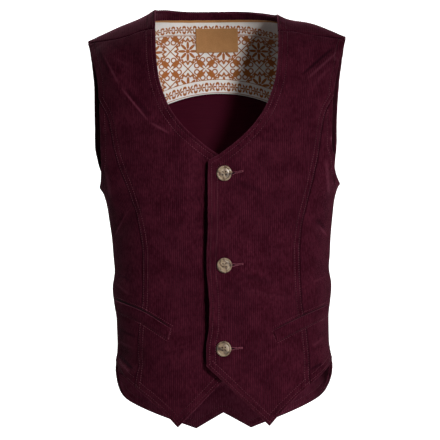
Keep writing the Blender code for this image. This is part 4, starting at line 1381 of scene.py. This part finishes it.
def makeButton(name, spot):
    flat = flatOf(spot[0], spot[1], "front")
    base, normal = wear(flat, "front", 1, "centre", buttons["stand"], lapRise)
    turned = Vector(normal[0]).to_track_quat("Z", "Y").to_matrix().to_4x4()
    place = Matrix.Translation(Vector(base[0]) * mm) @ turned @ Matrix.Scale(mm, 4)
    disc = bmesh.new()
    line = [disc.verts.new((share * buttons["radius"], 0, height)) for share, height in buttons["profile"]]
    edges = [disc.edges.new(pair) for pair in zip(line, line[1:])]
    bmesh.ops.spin(disc, geom=line + edges, axis=(0, 0, 1), cent=(0, 0, 0), angle=2 * math.pi,
                   steps=buttons["steps"], use_merge=True)
    bmesh.ops.remove_doubles(disc, verts=disc.verts, dist=0.0001)
    bmesh.ops.recalc_face_normals(disc, faces=disc.faces)
    holes = bmesh.new()
    corners = []
    reach = buttons["holePitch"] * math.sqrt(2)
    for quarter in range(4):
        angle = math.pi / 4 + quarter * math.pi / 2
        corners.append(Vector((reach * math.cos(angle), reach * math.sin(angle), buttons["threadAt"])))
        drillPlace = Matrix.Translation((corners[-1].x, corners[-1].y, buttons["drillAt"]))
        bmesh.ops.create_cone(holes, segments=buttons["holeSides"], depth=buttons["drill"], cap_ends=True,
                              radius1=buttons["hole"], radius2=buttons["hole"], matrix=drillPlace)
    shapes = []
    for shape, label in ((disc, name), (holes, name + "_holes")):
        bmesh.ops.transform(shape, matrix=place, verts=shape.verts)
        mesh = bpy.data.meshes.new(label)
        shape.to_mesh(mesh)
        shape.free()
        thing = bpy.data.objects.new(label, mesh)
        bpy.context.collection.objects.link(thing)
        shapes.append(thing)
    drill = shapes[0].modifiers.new("holes", "BOOLEAN")
    drill.operation = "DIFFERENCE"
    drill.solver = "EXACT"
    drill.object = shapes[1]
    bpy.context.view_layer.update()
    result = shapes[0].evaluated_get(bpy.context.evaluated_depsgraph_get())
    drilled = bpy.data.meshes.new_from_object(result)
    for thing in shapes:
        bpy.data.objects.remove(thing)
    drilled.materials.clear()
    newPiece(name + "_horn", drilled, materials["horn"], name)
    drilled.set_sharp_from_angle(angle=buttons["sharp"])
    starts, ends = [], []
    for a, b, lift in zip(corners, corners[2:], buttons["threadLift"]):
        for way in (-1, 1):
            away = (b - a).cross(Vector((0, 0, 1))).normalized() * way * buttons["threadApart"]
            away.z += lift
            starts.append(place @ (a + away) / mm)
            ends.append(place @ (b + away) / mm)
    sewRows(name + "_thread", starts, ends, [normal[0]] * len(starts), buttons["threadWide"],
            buttons["threadHigh"], longest=buttons["longest"], thread="tan thread")
    print(name, "made")


for number, spot in enumerate(buttons["spots"]):
    makeButton("button_" + str(number + 1), spot)

# worked buttonholes on the upper front, running out from under each button
buttonhole = {
    "start": 6.0, "length": 25.0, "eyeAt": 12.3, "eyeReach": 2.6, "open": 1.9, "shut": 0.12, "slitOver": 0.1,
    "barLength": 1.35, "barPitch": 0.85, "barWide": 0.44, "barHigh": 0.40, "lie": 0.32, "slitLie": 0.3,
    "fan": {"turn": 1.3, "count": 5, "from": 0.2, "to": 1.5}, "rise": (0.19, 0.10, 0.05),
}


def makeButtonhole(name, spot, rise):
    middle = flatOf(spot[0], spot[1], "front")[0]
    first, last, eye = buttonhole["start"], buttonhole["length"], buttonhole["eyeAt"]

    def gapeAt(along):  # half the width of the slit, open at the shank beside the button
        near = np.exp(-((along - eye) / buttonhole["eyeReach"]) ** 2)
        return buttonhole["shut"] + buttonhole["open"] / 2 * near

    alongs = np.arange(first, last, buttonhole["barPitch"])
    starts, ends = [], []
    for way in (1, -1):
        at = middle + np.stack([alongs, (alongs - eye) * rise + way * gapeAt(alongs)], 1)
        starts.append(at)
        ends.append(at + [0, way * buttonhole["barLength"]])
    tip = middle + [last, (last - eye) * rise]
    fan = buttonhole["fan"]
    for turn in np.linspace(-fan["turn"], fan["turn"], fan["count"]):
        way = np.array([[math.cos(turn), math.sin(turn)]])
        starts.append(tip + fan["from"] * way)
        ends.append(tip + fan["to"] * way)
    sewFlat(name + "_purl", starts, ends, ("front", 1, "centre", buttonhole["lie"], lapRise),
            wide=buttonhole["barWide"], high=buttonhole["barHigh"], thread="purl")

    # the slit is a dark sheet of painted shade laid over the cloth, not an opening
    def slitAt(share, way):
        along = first + share * (last - first)
        level = middle[1] + (along - eye) * rise
        return middle[0] + along, level + way * (gapeAt(along) + buttonhole["slitOver"])

    darkStrip(name + "_slit", 40, slitAt, ("front", 1, "centre", buttonhole["slitLie"], lapRise))


for number, spot in enumerate(buttons["spots"]):
    makeButtonhole("buttonhole_" + str(number + 1), spot, buttonhole["rise"][number])

# studio
studio = {
    "floor": -1.50, "sweepBehind": 3.0, "sweepRadius": 0.9, "sweepSteps": 12, "sweepTop": 3.0,
    "halfWide": 5.0, "front": -4.0, "paper": (0.86, 0.86, 0.86, 1), "glow": 1.0, "glowFrom": (0.5, 1.5),
    "haze": 0.012,
    # place, aim, width, power, spread in degrees
    "lights": {
        "key": ((0.807, -2.41, 0.26), (0, 0, -0.36), 0.30, 6.4, 60),
        "low fill": ((0.80, -2.00, -1.15), (0, 0, -0.44), 0.8, 2.1, 60),
        "left fill": ((-2.0, -1.4, -0.28), (0, 0, -0.36), 1.0, 0.30, 60),
        "right fill": ((2.15, -1.20, 0.10), (0, 0, -0.28), 0.7, 1.3, 60),
        "back light": ((-1.2, 1.2, 1.2), (0, 0, -0.28), 1.0, 22, 180),
    },
}


def makeSweep():  # a sheet of paper that runs back and then up
    sweep = bmesh.new()
    side, floor, radius = -studio["halfWide"], studio["floor"], studio["sweepRadius"]
    behind, steps = studio["sweepBehind"], studio["sweepSteps"]
    line = [(studio["front"], floor)]
    for i in range(steps + 1):
        angle = i / steps * math.pi / 2
        line.append((behind + radius * math.sin(angle), floor + radius * (1 - math.cos(angle))))
    line.append((behind + radius, studio["sweepTop"]))
    edge = [sweep.verts.new((side, back, height)) for back, height in line]
    lines = [sweep.edges.new(pair) for pair in zip(edge, edge[1:])]
    grown = bmesh.ops.extrude_edge_only(sweep, edges=lines)
    moved = [v for v in grown["geom"] if isinstance(v, bmesh.types.BMVert)]
    bmesh.ops.translate(sweep, verts=moved, vec=(-2 * side, 0, 0))
    mesh = bpy.data.meshes.new("studio_sweep")
    sweep.to_mesh(mesh)
    sweep.free()
    mesh.shade_smooth()
    paper = bpy.data.objects.new("studio_sweep", mesh)
    bpy.context.collection.objects.link(paper)
    material, start, shader = newMaterial("studio_paper", Roughness=0.9, Base_Color=studio["paper"],
                                          Emission_Strength=studio["glow"])
    spot = start.spot()
    depth = spot.axis(1)
    plug(start, shader, Emission_Color=depth.soft(*studio["glowFrom"]).mixed((0, 0, 0, 1), (1, 1, 1, 1)))
    mesh.materials.append(material)


def softLight(name, place, aim, width, power, spread):
    data = bpy.data.lights.new(name, "AREA")
    data.shape = "DISK"
    data.size = width
    data.energy = power
    data.spread = math.radians(spread)
    lamp = bpy.data.objects.new(name, data)
    lamp.location = place
    lamp.rotation_euler = (Vector(aim) - Vector(place)).to_track_quat("-Z", "Y").to_euler()
    bpy.context.collection.objects.link(lamp)


makeSweep()
for name, light in studio["lights"].items():
    softLight(name, *light)
world = bpy.data.worlds.new("studio")
world.use_nodes = True
haze = world.node_tree.nodes["Background"]
haze.inputs["Color"].default_value = (1, 1, 1, 1)
haze.inputs["Strength"].default_value = studio["haze"]
bpy.context.scene.world = world
bpy.context.scene.view_settings.view_transform = "Standard"
print("studio lit:", len(studio["lights"]), "lights")

view = {"distance": 3.0, "aimDrop": 0.300, "sensor": 36.0, "pixelsPerUnit": 2083.0, "frame": 440.0,
        "roll": math.radians(-1)}
lens = bpy.data.cameras.new("photo_camera")
lens.sensor_width = view["sensor"]
lens.lens = view["sensor"] * view["pixelsPerUnit"] / view["frame"]
camera = bpy.data.objects.new("photo_camera", lens)
level = Matrix.Translation((0, -view["distance"], -view["aimDrop"])) @ Matrix.Rotation(math.pi / 2, 4, "X")
camera.matrix_world = level @ Matrix.Rotation(view["roll"], 4, "Z")
bpy.context.collection.objects.link(camera)
bpy.context.scene.camera = camera
